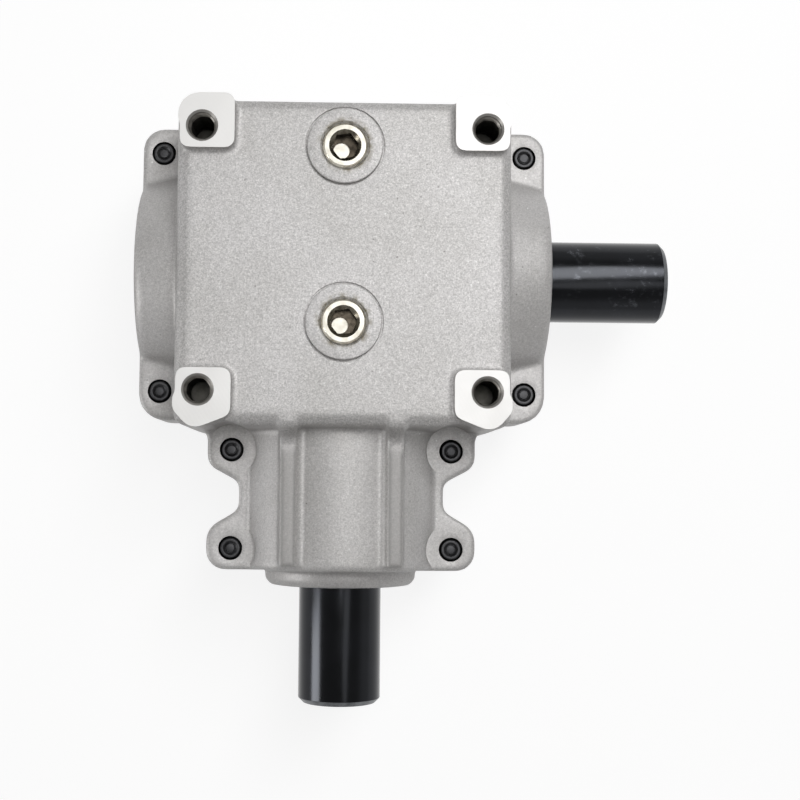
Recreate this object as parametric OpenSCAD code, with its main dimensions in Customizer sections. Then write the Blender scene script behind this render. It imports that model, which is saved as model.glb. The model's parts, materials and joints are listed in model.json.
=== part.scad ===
// Right-angle bevel gearbox for a mower deck. Two cast halves meet on the plane of both shafts.
// The origin is the centre of the four tapped holes, on the machined face of the pads, +Z up.
// The output shaft runs out towards +X, and the input shaft towards -Y.

/* [Shafts] */
// Diameter of both shafts
shaft_d = 25.4; // [24.4:0.1:26.4]
// Length of output shaft outside the housing
output_out = 38.5; // [34:0.5:80]
// Length of input shaft outside the housing
input_out = 36.3; // [34:0.5:80]
// Chamfer on each shaft end
shaft_chamfer = 1.5; // [0.5:0.1:2.5]
// Step from the free ends up to the ground journals inside
journal_step = 0.2; // [0.18:0.01:0.5]
// Width of the keyways and keys
key_w = 6.35; // [5:0.05:7]
// Depth of the keyways, from the top of the shaft
keyway_depth = 3.2; // [2.5:0.1:4]
// Length of the keyway at each shaft end
end_keyway_l = 28; // [16:0.5:30]

/* [Bearings] */
// Outside diameter of the bearings
bearing_od = 50.8; // [50:0.1:53]
// Width of the bearings
bearing_w = 12.7; // [11.5:0.1:14]
// Diameter of the balls
ball_d = 7.9; // [7:0.1:8.3]
// Number of balls in each bearing
ball_count = 9; // [7:1:10]
// Gap between the two bearings of the input shaft
bearing_gap = 17.7; // [16:0.1:24]

/* [Gears] */
// Number of teeth on both gears
teeth = 20; // [18:1:22]
// Tooth module at the large end
gear_module = 3; // [2.8:0.05:3.2]
// Width of the toothed face
face_w = 14; // [11:0.5:15]
// Play between the teeth, at the large end
backlash = 0.35; // [0.25:0.05:0.6]
// Length of the hub behind the output gear
output_hub_l = 8.45; // [8.2:0.05:12]
// Length of the hub behind the pinion
input_hub_l = 11.25; // [10:0.05:14]

/* [Casting] */
// Wall over the gears
wall = 5; // [4:0.25:7]
// Wall around the bearings of the input shaft
bearing_wall = 5.4; // [4.8:0.1:7]
// Wall around the bearings of the output shaft, at the end face
end_wall = 4.1; // [3.6:0.1:6]
// Width of the body across X, under the pads
body_w = 97.5; // [96:0.5:104]
// Distance from the rear mounting holes to the back wall
back_margin = 8.9; // [8.5:0.1:12]
// Distance from the front mounting holes to the front wall
front_margin = 9.9; // [9.5:0.1:12]
// Radius of the edges around the top of the body
edge_r = 4; // [2:0.25:5]
// Thickness of the upper half's flange at the screws
upper_flange = 12.8; // [11:0.1:15]
// Thickness of the lower half's flange at the screws
lower_flange = 12; // [10.5:0.1:14]
// Height of the two stiffening ribs over the input barrel, from the shaft plane
rib_top = 31.2; // [30:0.1:34]
// Width of a stiffening rib
rib_w = 4.6; // [3:0.1:6]
// Gap between the two stiffening ribs
rib_gap = 26.8; // [20:0.2:30]

/* [Mounting pads] */
// Hole spacing along X
pad_x = 82.55; // [81:0.05:84]
// Hole spacing along Y
pad_y = 76.2; // [75:0.05:78]
// Height of the machined pads over the body
pad_proud = 3; // [1.5:0.25:5]
// Tapping drill of the holes
pad_drill = 6.8; // [5:0.1:7]
// Depth of the holes
pad_hole_l = 20; // [14:0.5:24]

/* [Fasteners and plugs] */
// Thread diameter of the housing screws
screw_d = 8; // [6:0.1:8.4]
// Length of the housing screws under the head
screw_l = 25; // [20:0.5:30]
// Diameter of the raised boss around a plug
boss_d = 22.1; // [18:0.1:23]
// Height of the raised boss around a plug
boss_h = 1; // [0.5:0.1:2]
// Diameter of the plugs
plug_d = 13.2; // [11:0.1:14.5]
// Length of the plugs
plug_l = 8.5; // [7.5:0.25:10]
// Distance across the flats of the plug sockets
plug_hex = 7; // [5.5:0.1:8]
// Distance of the fill plug from the back wall
fill_plug_in = 13.7; // [13:0.1:18]
// Distance of the level plug from the output shaft, on the input side
level_plug_y = 18; // [12:0.1:19]

/* [Hidden] */
$fn = 96;

// Colours, as the photo shows the outside pieces
cast_grey = [0.68, 0.67, 0.65];
black_oxide = [0.09, 0.09, 0.10];
plated = [0.80, 0.78, 0.72];
steel = [0.62, 0.63, 0.65];
dark_steel = [0.42, 0.43, 0.45];
bright_steel = [0.80, 0.80, 0.82];
rubber_black = [0.07, 0.07, 0.07];
cage_brass = [0.70, 0.58, 0.32];

// Small clearances
fit = 0.02;
running = 0.04;
cut = 1;
arc_steps = 6;

// Bearing geometry
shaft_r = shaft_d / 2;
bearing_r = bearing_od / 2;
journal_r = shaft_r + journal_step;
ball_pitch_r = (journal_r + bearing_r) / 2;
race_gap = 0.05;
cage_gap = 0.12;
race_land = 0.27 * ball_d;
shoulder_r = bearing_r - 3.4;

// Bevel gears: equal tooth counts, so both pitch cones stand at 45 degrees
cone_angle = 45;
pressure_angle = 20;
pitch_r = teeth * gear_module / 2;
cone_l = pitch_r / sin(cone_angle);
toe_scale = (cone_l - face_w) / cone_l;
addendum = gear_module;
dedendum = 1.25 * gear_module;
tip_r = pitch_r + addendum * cos(cone_angle);
heel = pitch_r + dedendum * sin(cone_angle);
toe = (pitch_r - addendum * sin(cone_angle)) * toe_scale;
hub_r = ball_pitch_r - race_land - 0.35;
gear_bore_gap = fit;

// Stations along the output shaft, from the crossing point of the shafts
shim_t = 0.5;
lip = 1.4;
out_shoulder = heel + output_hub_l - shim_t;
out_bearing = heel + output_hub_l;
land_l = 1.8;
seal_w = 6.35;
seal_recess = 0.35;
journal_show = 0.1;
barrel_end = out_bearing + bearing_w + land_l + seal_w + seal_recess;
out_journal_end = barrel_end - seal_recess + journal_show;
output_end = barrel_end + output_out;
output_blind_x = out_bearing + bearing_w + 1.7;

// Stations along the input shaft
in_shoulder = heel + input_hub_l - shim_t;
in_rear = heel + input_hub_l;
in_front = in_rear + bearing_w + bearing_gap;
in_seal = in_front + bearing_w + land_l;
collar_end = in_seal + seal_w + seal_recess;
in_journal_end = collar_end - seal_recess + journal_show;
collar_l = 5.2;
neck_end = collar_end - collar_l;
input_end = collar_end + input_out;
ring_t = 1.2;
ring_h = 1.9;
groove_depth = 0.7;
ring_land = 1.3;
input_tail = toe - ring_t - ring_land;

// Seals
in_seal_r = shaft_r + 6.35;
out_seal_r = bearing_r;
case_t = 0.9;
spring_r = 0.55;

// Casting
body_back = pad_y / 2 + back_margin;
body_front = pad_y / 2 + front_margin;
clear_over_gear = 1.9;
cavity_h = tip_r + clear_over_gear;
body_top = cavity_h + wall;
pad_top = body_top + pad_proud;
cavity_x = out_shoulder - lip;
cavity_y = in_shoulder - lip;
cavity_back = body_back - wall;
cavity_corner_r = 12;
draft = 0.7;
barrel_r = bearing_r + end_wall;
barrel_root_r = barrel_r + 3.9;
neck_r = bearing_r + bearing_wall;
collar_r = in_seal_r + 4.3;
collar_tip_r = in_seal_r + 2.8;

// Screws, and the flange around them
corner_screw_in = 6.6;
corner_screw_x = barrel_end - corner_screw_in;
corner_screw_y = pad_y / 2 - 1.3;
ear_back = 7.8;
ear_front = 8.8;
neck_screw_gap = 6.4;
neck_screw_in = 6.1;
neck_screw_x = neck_r + screw_d / 3;
neck_screw_near = body_front + neck_screw_gap;
neck_screw_far = neck_end - neck_screw_in;
neck_ear_r = screw_d / 2 + 3.4;
screw_pocket_r = neck_ear_r + 0.3;
head_r = screw_d * 0.8125;
head_h = screw_d;
head_pocket_r = head_r + 0.7;
screw_socket = 0.75 * screw_d;
screw_places = [
    [corner_screw_x, corner_screw_y], [-corner_screw_x, corner_screw_y],
    [corner_screw_x, -corner_screw_y], [-corner_screw_x, -corner_screw_y],
    [neck_screw_x, -neck_screw_near], [-neck_screw_x, -neck_screw_near],
    [neck_screw_x, -neck_screw_far], [-neck_screw_x, -neck_screw_far]
];
neck_screw_places = [for (p = screw_places) if (p.y < -body_front) p];
pad_places = [for (sx = [-1, 1], sy = [-1, 1]) [sx, sy]];
plug_places = [[0, body_back - fill_plug_in], [0, -level_plug_y]];
dowel_r = 2.5;
dowel_l = 14;
dowel_x = body_w / 2 - 4.6;
dowel_back_y = body_back - 4.9;
dowel_front_y = -(body_front - 5.2);
dowel_places = [[dowel_x, dowel_back_y], [-dowel_x, dowel_front_y]];

// A path of [x, y, radius] corners, with each corner turned into an arc
function flat(p) = [p.x, p.y];
function unit(v) = v / norm(v);
function turn(a) = a > 180 ? a - 360 : (a < -180 ? a + 360 : a);
function corner(a, b, c, r, steps) =
    r <= 0 ? [b] :
    let (u = unit(a - b),
         v = unit(c - b),
         half = acos(u * v) / 2,
         reach = r / tan(half),
         centre = b + unit(u + v) * r / sin(half),
         from = b + u * reach - centre,
         to = b + v * reach - centre,
         start = atan2(from.y, from.x),
         sweep = turn(atan2(to.y, to.x) - start))
    [for (i = [0:steps]) centre + r * [cos(start + sweep * i / steps), sin(start + sweep * i / steps)]];
function rounded(path, steps = arc_steps) =
    let (n = len(path))
    [for (i = [0:n - 1]) each corner(flat(path[(i + n - 1) % n]), flat(path[i]),
                                     flat(path[(i + 1) % n]), path[i][2], steps)];
function mirrored(half) = concat(half, [for (i = [len(half) - 1:-1:0]) [-half[i].x, half[i].y, half[i][2]]]);

// Directions: the shaft modules are drawn along +Z from the crossing point of the shafts
module along_output() {
    rotate([0, 90, 0]) children();
}
module along_blind() {
    rotate([0, -90, 0]) children();
}
module along_input() {
    rotate([90, 0, 0]) children();
}
module from_pads() {
    translate([0, 0, -pad_top]) children();
}
module ring(r_in, r_out, z0, z1) {
    rotate_extrude() polygon([[r_in, z0], [r_out, z0], [r_out, z1], [r_in, z1]]);
}
module rod(r, z0, z1) {
    translate([0, 0, z0]) cylinder(r = r, h = z1 - z0);
}

// Casting, shared by both halves and drawn for the upper one
module body_block(top) {
    half = body_w / 2;
    front = -body_front;
    intersection() {
        linear_extrude(top)
            polygon(rounded([[half + draft, body_back + draft, 6], [-half - draft, body_back + draft, 6],
                             [-half - draft, front - draft, 6], [half + draft, front - draft, 6]]));
        translate([0, 2 * body_back, 0]) rotate([90, 0, 0]) linear_extrude(4 * body_back)
            polygon(rounded([[half + draft, -cut, 0], [half, top, edge_r], [-half, top, edge_r],
                             [-half - draft, -cut, 0]]));
        translate([-body_w, 0, 0]) rotate([90, 0, 90]) linear_extrude(2 * body_w)
            polygon(rounded([[body_back + draft, -cut, 0], [body_back, top, edge_r - 0.5],
                             [front, top, edge_r], [front - draft, -cut, 0]]));
    }
}
module flange(h) {
    out = barrel_end - 0.2;
    back = corner_screw_y + ear_back;
    front = corner_screw_y + ear_front;
    neck_out = neck_screw_x + neck_ear_r;
    waist_x = neck_r + 0.3;
    waist_y = (neck_screw_near + neck_screw_far) / 2;
    linear_extrude(h)
        polygon(rounded(mirrored([
            [out, back, 6.5], [out, -front, 8], [neck_out + 5.6, -front, 4],
            [neck_out, 4.7 - neck_screw_near, 4], [neck_out, -4.6 - neck_screw_near, 5],
            [waist_x, 5.1 - waist_y, 3.5], [waist_x, -3.3 - waist_y, 4],
            [neck_out, 5.8 - neck_screw_far, 6.5], [neck_out, -neck_end - 0.4, 5.8]
        ])));
}
module side_barrel() {
    rotate_extrude()
        polygon(rounded([[0, body_w / 2 - 6, 0], [barrel_root_r + 0.6, body_w / 2 - 6, 0],
                         [barrel_r - 0.2, barrel_end, 3.2], [0, barrel_end, 0]]));
}
module neck_barrel() {
    rotate_extrude()
        polygon(rounded([[0, body_front - 6, 0], [neck_r, body_front - 6, 0], [neck_r, neck_end, 1.6],
                         [collar_r, neck_end + 0.3, 0.5], [collar_r, collar_end - 1.9, 0.8],
                         [collar_tip_r, collar_end, 0.4], [0, collar_end, 0]]));
}
module neck_ribs(end_y) {
    inner = rib_gap / 2;
    outer = inner + rib_w;
    foot_in = sqrt(neck_r * neck_r - inner * inner);
    foot_out = sqrt(neck_r * neck_r - outer * outer);
    for (side = [0, 1])
        mirror([side, 0, 0])
            translate([0, -(body_front - 6), 0]) rotate([90, 0, 0]) linear_extrude(end_y - body_front + 6)
                polygon(rounded([[inner - 5, foot_in - 2, 0], [inner - 5, foot_in + 1.4, 0],
                                 [inner - 0.3, foot_in + 0.4, 2.4], [inner, rib_top, 0.7],
                                 [outer, rib_top, 0.7], [outer + 0.5, foot_out - 0.4, 1.6],
                                 [outer + 3.2, foot_out - 2.9, 0], [outer + 1, foot_out - 6, 0]]));
}
// The end of each rib sweeps up the front wall to the top of the body
module rib_heads(top) {
    wide = rib_w + 0.6;
    back = body_front - 6;
    for (side = [0, 1])
        mirror([side, 0, 0])
            translate([rib_gap / 2 - 0.3, 0, 0]) rotate([90, 0, 90]) linear_extrude(wide)
                polygon(rounded([[-back, rib_top - 3, 0], [-back, top - 0.15, 0],
                                 [-(body_front - 0.2), top - 0.15, 2.4], [-(body_front + 3.6), rib_top, 3.2],
                                 [-(body_front + 8), rib_top, 0], [-(body_front + 8), rib_top - 3, 0]]));
}
module half_casting(top, flange_h) {
    body_block(top);
    flange(flange_h);
    along_output() side_barrel();
    along_blind() side_barrel();
    along_input() neck_barrel();
    neck_ribs(neck_end - 1.6);
    rib_heads(top);
}
module bearing_seats() {
    for (end = [0, 1])
        mirror([end, 0, 0])
            along_output() {
                rod(shoulder_r, 0, barrel_end - cut);
                rod(bearing_r + fit, out_shoulder, out_bearing + bearing_w);
                rod(out_seal_r + fit, out_bearing + bearing_w + land_l, barrel_end + cut);
            }
    along_input() {
        rod(shoulder_r, 0, in_front);
        rod(bearing_r + fit, in_shoulder, in_rear + bearing_w);
        rod(bearing_r + fit, in_front, in_front + bearing_w);
        rod(in_seal_r - 1.5, in_front, collar_end - cut);
        rod(in_seal_r + fit, in_seal, collar_end + cut);
    }
}
module gear_cavity(h) {
    linear_extrude(h)
        polygon(rounded([[cavity_x, cavity_back, cavity_corner_r], [-cavity_x, cavity_back, cavity_corner_r],
                         [-cavity_x, -cavity_y, cavity_corner_r], [cavity_x, -cavity_y, cavity_corner_r]]));
}
module below_split() {
    translate([-2 * body_w, -2 * body_w, -4 * body_w]) cube([4 * body_w, 4 * body_w, 4 * body_w]);
}
module dowel_holes() {
    for (p = dowel_places)
        translate([p.x, p.y, -dowel_l]) cylinder(r = dowel_r + fit, h = 2 * dowel_l);
}

// Upper half: four machined pads, two plug bosses, tapped ears
module pad_outline(back) {
    shape = back ?
        [[-9.4, -6.4, 2.7], [6.4, -6.4, 2.7], [6.4, 0.8, 1.2], [7, 2, 1.2], [7, 9.7, 6.3], [-9.4, 9.7, 2.7]] :
        [[-9.4, 6.4, 2.7], [6.4, 6.4, 2.7], [6.4, -0.8, 1.2], [7.1, -2, 1.2], [7.2, -5.6, 3.6],
         [1.8, -11.5, 5], [-9.4, -7.1, 3]];
    polygon(rounded(shape));
}
module at_pad(place) {
    translate([place.x * pad_x / 2, place.y * pad_y / 2, 0]) mirror([place.x < 0 ? 1 : 0, 0, 0]) children();
}
module pads() {
    for (place = pad_places)
        at_pad(place)
            translate([0, 0, upper_flange]) linear_extrude(pad_top - upper_flange)
                pad_outline(place.y > 0);
}
module pad_holes() {
    depth = 0.45;
    slope = 2.3;
    for (place = pad_places)
        at_pad(place) {
            translate([0, 0, pad_top - pad_hole_l]) cylinder(d = pad_drill, h = pad_hole_l + cut);
            translate([0, 0, pad_top - depth])
                cylinder(r1 = pad_drill / 2, r2 = pad_drill / 2 + slope * (depth + cut), h = depth + cut);
        }
}
module upper_housing() {
    color(cast_grey) from_pads() difference() {
        union() {
            half_casting(body_top, upper_flange);
            pads();
            for (p = plug_places)
                translate([p.x, p.y, cavity_h]) cylinder(d = boss_d, h = wall + boss_h);
        }
        below_split();
        gear_cavity(cavity_h);
        bearing_seats();
        pad_holes();
        for (p = screw_places)
            translate([p.x, p.y, -cut]) cylinder(r = screw_d / 2 + running, h = body_top + cut);
        for (p = neck_screw_places)
            translate([p.x, p.y, upper_flange]) cylinder(r = screw_pocket_r, h = body_top);
        for (p = plug_places)
            translate([p.x, p.y, 0]) cylinder(d = plug_d + 2 * fit, h = pad_top);
        for (p = plug_places)
            translate([p.x, p.y, body_top + boss_h - 0.8])
                cylinder(r1 = plug_d / 2, r2 = plug_d / 2 + 0.8 + cut, h = 0.8 + cut);
        dowel_holes();
    }
}

// Lower half: the same outline with a flat underside, and pockets for the screw heads
module lower_housing() {
    color(cast_grey) from_pads() mirror([0, 0, 1]) difference() {
        half_casting(body_top, lower_flange);
        below_split();
        gear_cavity(cavity_h);
        bearing_seats();
        for (p = screw_places)
            translate([p.x, p.y, -cut]) cylinder(r = screw_d / 2 + 0.4, h = lower_flange + 2 * cut);
        for (p = screw_places)
            translate([p.x, p.y, lower_flange]) cylinder(r = head_pocket_r, h = body_top);
        dowel_holes();
    }
}

// Socket-head screws, put in from below, with their ends showing in the upper ears
module screw() {
    tip = screw_l - lower_flange;
    rotate_extrude()
        polygon([[0, -lower_flange - head_h], [head_r - 0.6, -lower_flange - head_h],
                 [head_r, -lower_flange - head_h + 0.6], [head_r, -lower_flange], [screw_d / 2, -lower_flange],
                 [screw_d / 2, tip - 1], [screw_d / 2 - 1, tip], [0, tip]]);
}
module housing_screws() {
    color(black_oxide) from_pads()
        for (p = screw_places)
            translate([p.x, p.y, 0]) difference() {
                screw();
                translate([0, 0, -lower_flange - head_h - cut])
                    cylinder(d = screw_socket / cos(30), h = head_h / 2 + cut, $fn = 6);
            }
}
module locating_dowels() {
    color(steel) from_pads()
        for (p = dowel_places)
            translate([p.x, p.y, 0]) rotate_extrude()
                polygon([[0, -dowel_l + 1], [dowel_r - 0.5, -dowel_l + 1], [dowel_r, -dowel_l + 1.5],
                         [dowel_r, dowel_l - 1.5], [dowel_r - 0.5, dowel_l - 1], [0, dowel_l - 1]]);
}

// Threaded plugs with a hexagon socket and a drilled centre
module plug(place) {
    r = plug_d / 2;
    color(plated) from_pads() translate([place.x, place.y, body_top + boss_h + 0.3 - plug_l]) difference() {
        rotate_extrude()
            polygon([[0, 0], [r - 0.8, 0], [r, 0.8], [r, plug_l - 0.9], [r - 0.8, plug_l], [0, plug_l]]);
        translate([0, 0, plug_l - 5]) cylinder(d = plug_hex / cos(30), h = 5 + cut, $fn = 6);
        translate([0, 0, plug_l - 0.8]) cylinder(d1 = plug_hex, d2 = plug_hex + 2.6, h = 1.3);
        translate([0, 0, plug_l - 5.8]) cylinder(d1 = plug_hex - 5, d2 = plug_hex - 1.8, h = 1);
    }
}
module fill_plug() {
    plug(plug_places[0]);
}
module level_plug() {
    plug(plug_places[1]);
}

// Pressed cap in the blind end of the output bore
module blind_end_cap() {
    z0 = out_bearing + bearing_w + land_l;
    z1 = z0 + seal_w;
    r = out_seal_r;
    color(rubber_black) from_pads() along_blind() rotate_extrude()
        polygon(rounded([[0, z1 - 2.6, 0], [0, z1 - 1.4, 0], [r - 5, z1 - 1.4, 1], [r - 4, z1, 0.8],
                         [r, z1, 0.8], [r, z0, 0.6], [r - 1.4, z0, 0.4], [r - 1.4, z1 - 2.6, 0.6]]));
}

// Shafts
module keyway(r, z0, z1) {
    translate([-key_w / 2, r - keyway_depth, z0]) cube([key_w, keyway_depth + cut, z1 - z0]);
}
module shaft(z0, journal_end, z1, grooves) {
    difference() {
        rotate_extrude()
            polygon([[0, z0], [journal_r - shaft_chamfer, z0], [journal_r, z0 + shaft_chamfer],
                     [journal_r, journal_end], [shaft_r, journal_end], [shaft_r, z1 - shaft_chamfer],
                     [shaft_r - shaft_chamfer, z1], [0, z1]]);
        for (g = grooves)
            ring(journal_r - groove_depth, journal_r + cut, g, g + ring_t + 2 * fit);
        keyway(shaft_r, z1 - end_keyway_l, z1 + cut);
        keyway(journal_r, toe + 1.5, heel + 2);
    }
}
module output_shaft() {
    grooves = [-out_bearing - bearing_w - ring_t - 2 * fit, out_bearing + bearing_w];
    color(black_oxide) from_pads() along_output() rotate([0, 0, -90])
        shaft(-output_blind_x, out_journal_end, output_end, grooves);
}
module input_shaft() {
    grooves = [toe - ring_t - 2 * fit, in_front + bearing_w];
    color(black_oxide) from_pads() along_input() rotate([0, 0, 180])
        shaft(input_tail, in_journal_end, input_end, grooves);
}

// Straight bevel teeth. The involute is drawn on the developed back cone and wrapped round the axis
virtual_r = pitch_r / cos(cone_angle);
virtual_base = virtual_r * cos(pressure_angle);
back_apex = cone_l / cos(cone_angle);
function involute_angle(rho) =
    let (a = rho <= virtual_base ? 0 : acos(virtual_base / rho))
    tan(a) * 180 / PI - a;
pitch_half_angle = (90 / teeth) * cos(cone_angle) - backlash / 4 / virtual_r * 180 / PI;
function half_tooth(rho) = pitch_half_angle + involute_angle(virtual_r) - involute_angle(rho);
flank_steps = 5;
function flank_rho(i) =
    virtual_r - dedendum + 0.25 * gear_module + (addendum + dedendum - 0.25 * gear_module) * i / flank_steps;
function tooth_profile() = concat(
    [[virtual_r - dedendum, -half_tooth(virtual_base) - 1.0]],
    [for (i = [0:flank_steps]) [flank_rho(i), -half_tooth(flank_rho(i))]],
    [for (i = [flank_steps:-1:0]) [flank_rho(i), half_tooth(flank_rho(i))]],
    [[virtual_r - dedendum, half_tooth(virtual_base) + 1.0]]
);
function on_back_cone(p, tooth) =
    let (a = p[1] / cos(cone_angle) + tooth * 360 / teeth,
         r = p[0] * cos(cone_angle))
    [r * cos(a), r * sin(a), back_apex - p[0] * sin(cone_angle)];
module toothed_ring() {
    profile = tooth_profile();
    heel_ring = [for (t = [0:teeth - 1]) for (p = profile) on_back_cone(p, t)];
    n = len(heel_ring);
    toe_ring = [for (p = heel_ring) p * toe_scale];
    inner_r = hub_r + 1;
    back_ring = [for (p = heel_ring) let (s = inner_r / norm([p.x, p.y])) [p.x * s, p.y * s, heel - 0.6]];
    front_ring = [for (p = back_ring) [p.x * 0.8, p.y * 0.8, toe]];
    rings = [front_ring, toe_ring, heel_ring, back_ring];
    polyhedron(
        points = [for (r = rings) for (p = r) p],
        faces = concat(
            [[for (i = [0:n - 1]) i]],
            [for (k = [0:2]) for (i = [0:n - 1]) [k * n + i, k * n + n + i, k * n + n + (i + 1) % n]],
            [for (k = [0:2]) for (i = [0:n - 1]) [k * n + i, k * n + n + (i + 1) % n, k * n + (i + 1) % n]],
            [[for (i = [n - 1:-1:0]) 3 * n + i]]
        ));
}
module bevel_gear(hub_l, turned) {
    difference() {
        union() {
            rotate([0, 0, turned]) toothed_ring();
            rotate_extrude()
                polygon([[0, toe], [hub_r, toe], [hub_r + 4, heel - 1], [hub_r, heel + 3], [hub_r, heel + hub_l],
                         [0, heel + hub_l]]);
        }
        rod(journal_r + gear_bore_gap, toe - cut, heel + hub_l + cut);
        translate([-key_w / 2 - fit, 0, toe - cut])
            cube([key_w + 2 * fit, journal_r + key_w - keyway_depth + 0.3, heel + hub_l - toe + 2 * cut]);
    }
}
module output_gear() {
    color(steel) from_pads() along_output() rotate([0, 0, -90]) bevel_gear(output_hub_l, 0);
}
module input_pinion() {
    color(steel) from_pads() along_input() rotate([0, 0, 180]) bevel_gear(input_hub_l, 90 + 180 / teeth);
}
module gear_key() {
    translate([-key_w / 2, journal_r - keyway_depth, toe + 1.5]) cube([key_w, key_w, heel + 0.5 - toe]);
}
module output_gear_key() {
    color(steel) from_pads() along_output() rotate([0, 0, -90]) gear_key();
}
module input_pinion_key() {
    color(steel) from_pads() along_input() rotate([0, 0, 180]) gear_key();
}

// Sleeves, retaining rings and shims
module sleeve(z0, z1) {
    ring(journal_r + fit, hub_r - 0.6, z0, z1);
}
module output_spacer_sleeve() {
    color(steel) from_pads() along_output() sleeve(-out_bearing, toe);
}
module input_spacer_sleeve() {
    color(steel) from_pads() along_input() sleeve(in_rear + bearing_w, in_front);
}
module retaining_ring(z) {
    r = journal_r + ring_h;
    difference() {
        ring(journal_r - groove_depth + fit, r, z + fit, z + fit + ring_t);
        translate([0, -r, z - cut]) linear_extrude(ring_t + 3 * cut) polygon([[0, r], [-5, -cut], [5, -cut]]);
    }
}
module output_drive_end_ring() {
    color(dark_steel) from_pads() along_output() retaining_ring(out_bearing + bearing_w);
}
module output_blind_end_ring() {
    color(dark_steel) from_pads() along_blind() retaining_ring(out_bearing + bearing_w);
}
module input_pinion_ring() {
    color(dark_steel) from_pads() along_input() retaining_ring(toe - ring_t - 2 * fit);
}
module input_bearing_ring() {
    color(dark_steel) from_pads() along_input() retaining_ring(in_front + bearing_w);
}
module output_shim() {
    color(dark_steel) from_pads() along_output() ring(shoulder_r, bearing_r - 0.1, out_shoulder, out_bearing);
}
module input_shim() {
    color(dark_steel) from_pads() along_input() ring(shoulder_r, bearing_r - 0.1, in_shoulder, in_rear);
}

// Ball bearings, each with two rings, balls and a cage
module track() {
    rotate_extrude() translate([ball_pitch_r, bearing_w / 2]) circle(r = ball_d / 2 + race_gap, $fn = 48);
}
module race(r_in, r_out) {
    difference() {
        rotate_extrude()
            polygon([[r_in + 0.5, 0], [r_out - 0.5, 0], [r_out, 0.5], [r_out, bearing_w - 0.5],
                     [r_out - 0.5, bearing_w], [r_in + 0.5, bearing_w], [r_in, bearing_w - 0.5], [r_in, 0.5]]);
        track();
    }
}
module bearing_outer() {
    color(steel) race(ball_pitch_r + race_land, bearing_r);
}
module bearing_inner() {
    color(steel) race(journal_r + fit, ball_pitch_r - race_land);
}
module bearing_balls() {
    color(bright_steel)
        for (i = [0:ball_count - 1])
            rotate([0, 0, i * 360 / ball_count]) translate([ball_pitch_r, 0, bearing_w / 2]) sphere(d = ball_d);
}
module bearing_cage() {
    color(cage_brass) difference() {
        ring(ball_pitch_r - 0.8, ball_pitch_r + 0.8, bearing_w / 2 - ball_d / 2 - 1.3, bearing_w / 2 + ball_d / 2 + 1.3);
        for (i = [0:ball_count - 1])
            rotate([0, 0, i * 360 / ball_count]) translate([journal_r, 0, bearing_w / 2]) rotate([0, 90, 0])
                cylinder(d = ball_d + 2 * cage_gap, h = bearing_r);
    }
}
module at_output_drive() {
    from_pads() along_output() translate([0, 0, out_bearing]) children();
}
module at_output_blind() {
    from_pads() along_blind() translate([0, 0, out_bearing]) children();
}
module at_input_rear() {
    from_pads() along_input() translate([0, 0, in_rear]) children();
}
module at_input_front() {
    from_pads() along_input() translate([0, 0, in_front]) children();
}
module output_drive_bearing_outer() {
    at_output_drive() bearing_outer();
}
module output_drive_bearing_inner() {
    at_output_drive() bearing_inner();
}
module output_drive_bearing_balls() {
    at_output_drive() bearing_balls();
}
module output_drive_bearing_cage() {
    at_output_drive() bearing_cage();
}
module output_blind_bearing_outer() {
    at_output_blind() bearing_outer();
}
module output_blind_bearing_inner() {
    at_output_blind() bearing_inner();
}
module output_blind_bearing_balls() {
    at_output_blind() bearing_balls();
}
module output_blind_bearing_cage() {
    at_output_blind() bearing_cage();
}
module input_rear_bearing_outer() {
    at_input_rear() bearing_outer();
}
module input_rear_bearing_inner() {
    at_input_rear() bearing_inner();
}
module input_rear_bearing_balls() {
    at_input_rear() bearing_balls();
}
module input_rear_bearing_cage() {
    at_input_rear() bearing_cage();
}
module input_front_bearing_outer() {
    at_input_front() bearing_outer();
}
module input_front_bearing_inner() {
    at_input_front() bearing_inner();
}
module input_front_bearing_balls() {
    at_input_front() bearing_balls();
}
module input_front_bearing_cage() {
    at_input_front() bearing_cage();
}

// Oil seals: a pressed steel case, a rubber body with its lip on the shaft, and a garter spring
module seal_rubber(r_out) {
    lip_r = journal_r + running;
    wall_r = r_out - case_t;
    color(rubber_black) rotate_extrude()
        polygon([[lip_r, 1.6], [lip_r + 1, 0.4], [lip_r + 2, 0.4], [lip_r + 2, seal_w - case_t - 1.2],
                 [wall_r, seal_w - case_t - 1.2], [wall_r, seal_w - case_t], [r_out - 1.4, seal_w],
                 [lip_r + 1.4, seal_w], [lip_r, seal_w - 0.5], [lip_r + 0.5, seal_w - 1.6], [lip_r + 0.8, 3]]);
}
module seal_case(r_out) {
    color(dark_steel) rotate_extrude()
        polygon([[r_out - 2.4, 0], [r_out - 0.4, 0], [r_out, 0.6], [r_out, seal_w - case_t],
                 [r_out - case_t, seal_w - case_t], [r_out - case_t, case_t], [r_out - 2.4, case_t]]);
}
module seal_spring() {
    color(steel) rotate_extrude()
        translate([journal_r + running + 2 + spring_r, 1.5]) circle(r = spring_r, $fn = 24);
}
module at_output_seal() {
    from_pads() along_output() translate([0, 0, out_bearing + bearing_w + land_l]) children();
}
module at_input_seal() {
    from_pads() along_input() translate([0, 0, in_seal]) children();
}
module output_oil_seal() {
    at_output_seal() seal_rubber(out_seal_r);
}
module output_seal_case() {
    at_output_seal() seal_case(out_seal_r);
}
module output_seal_spring() {
    at_output_seal() seal_spring();
}
module input_oil_seal() {
    at_input_seal() seal_rubber(in_seal_r);
}
module input_seal_case() {
    at_input_seal() seal_case(in_seal_r);
}
module input_seal_spring() {
    at_input_seal() seal_spring();
}

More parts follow.
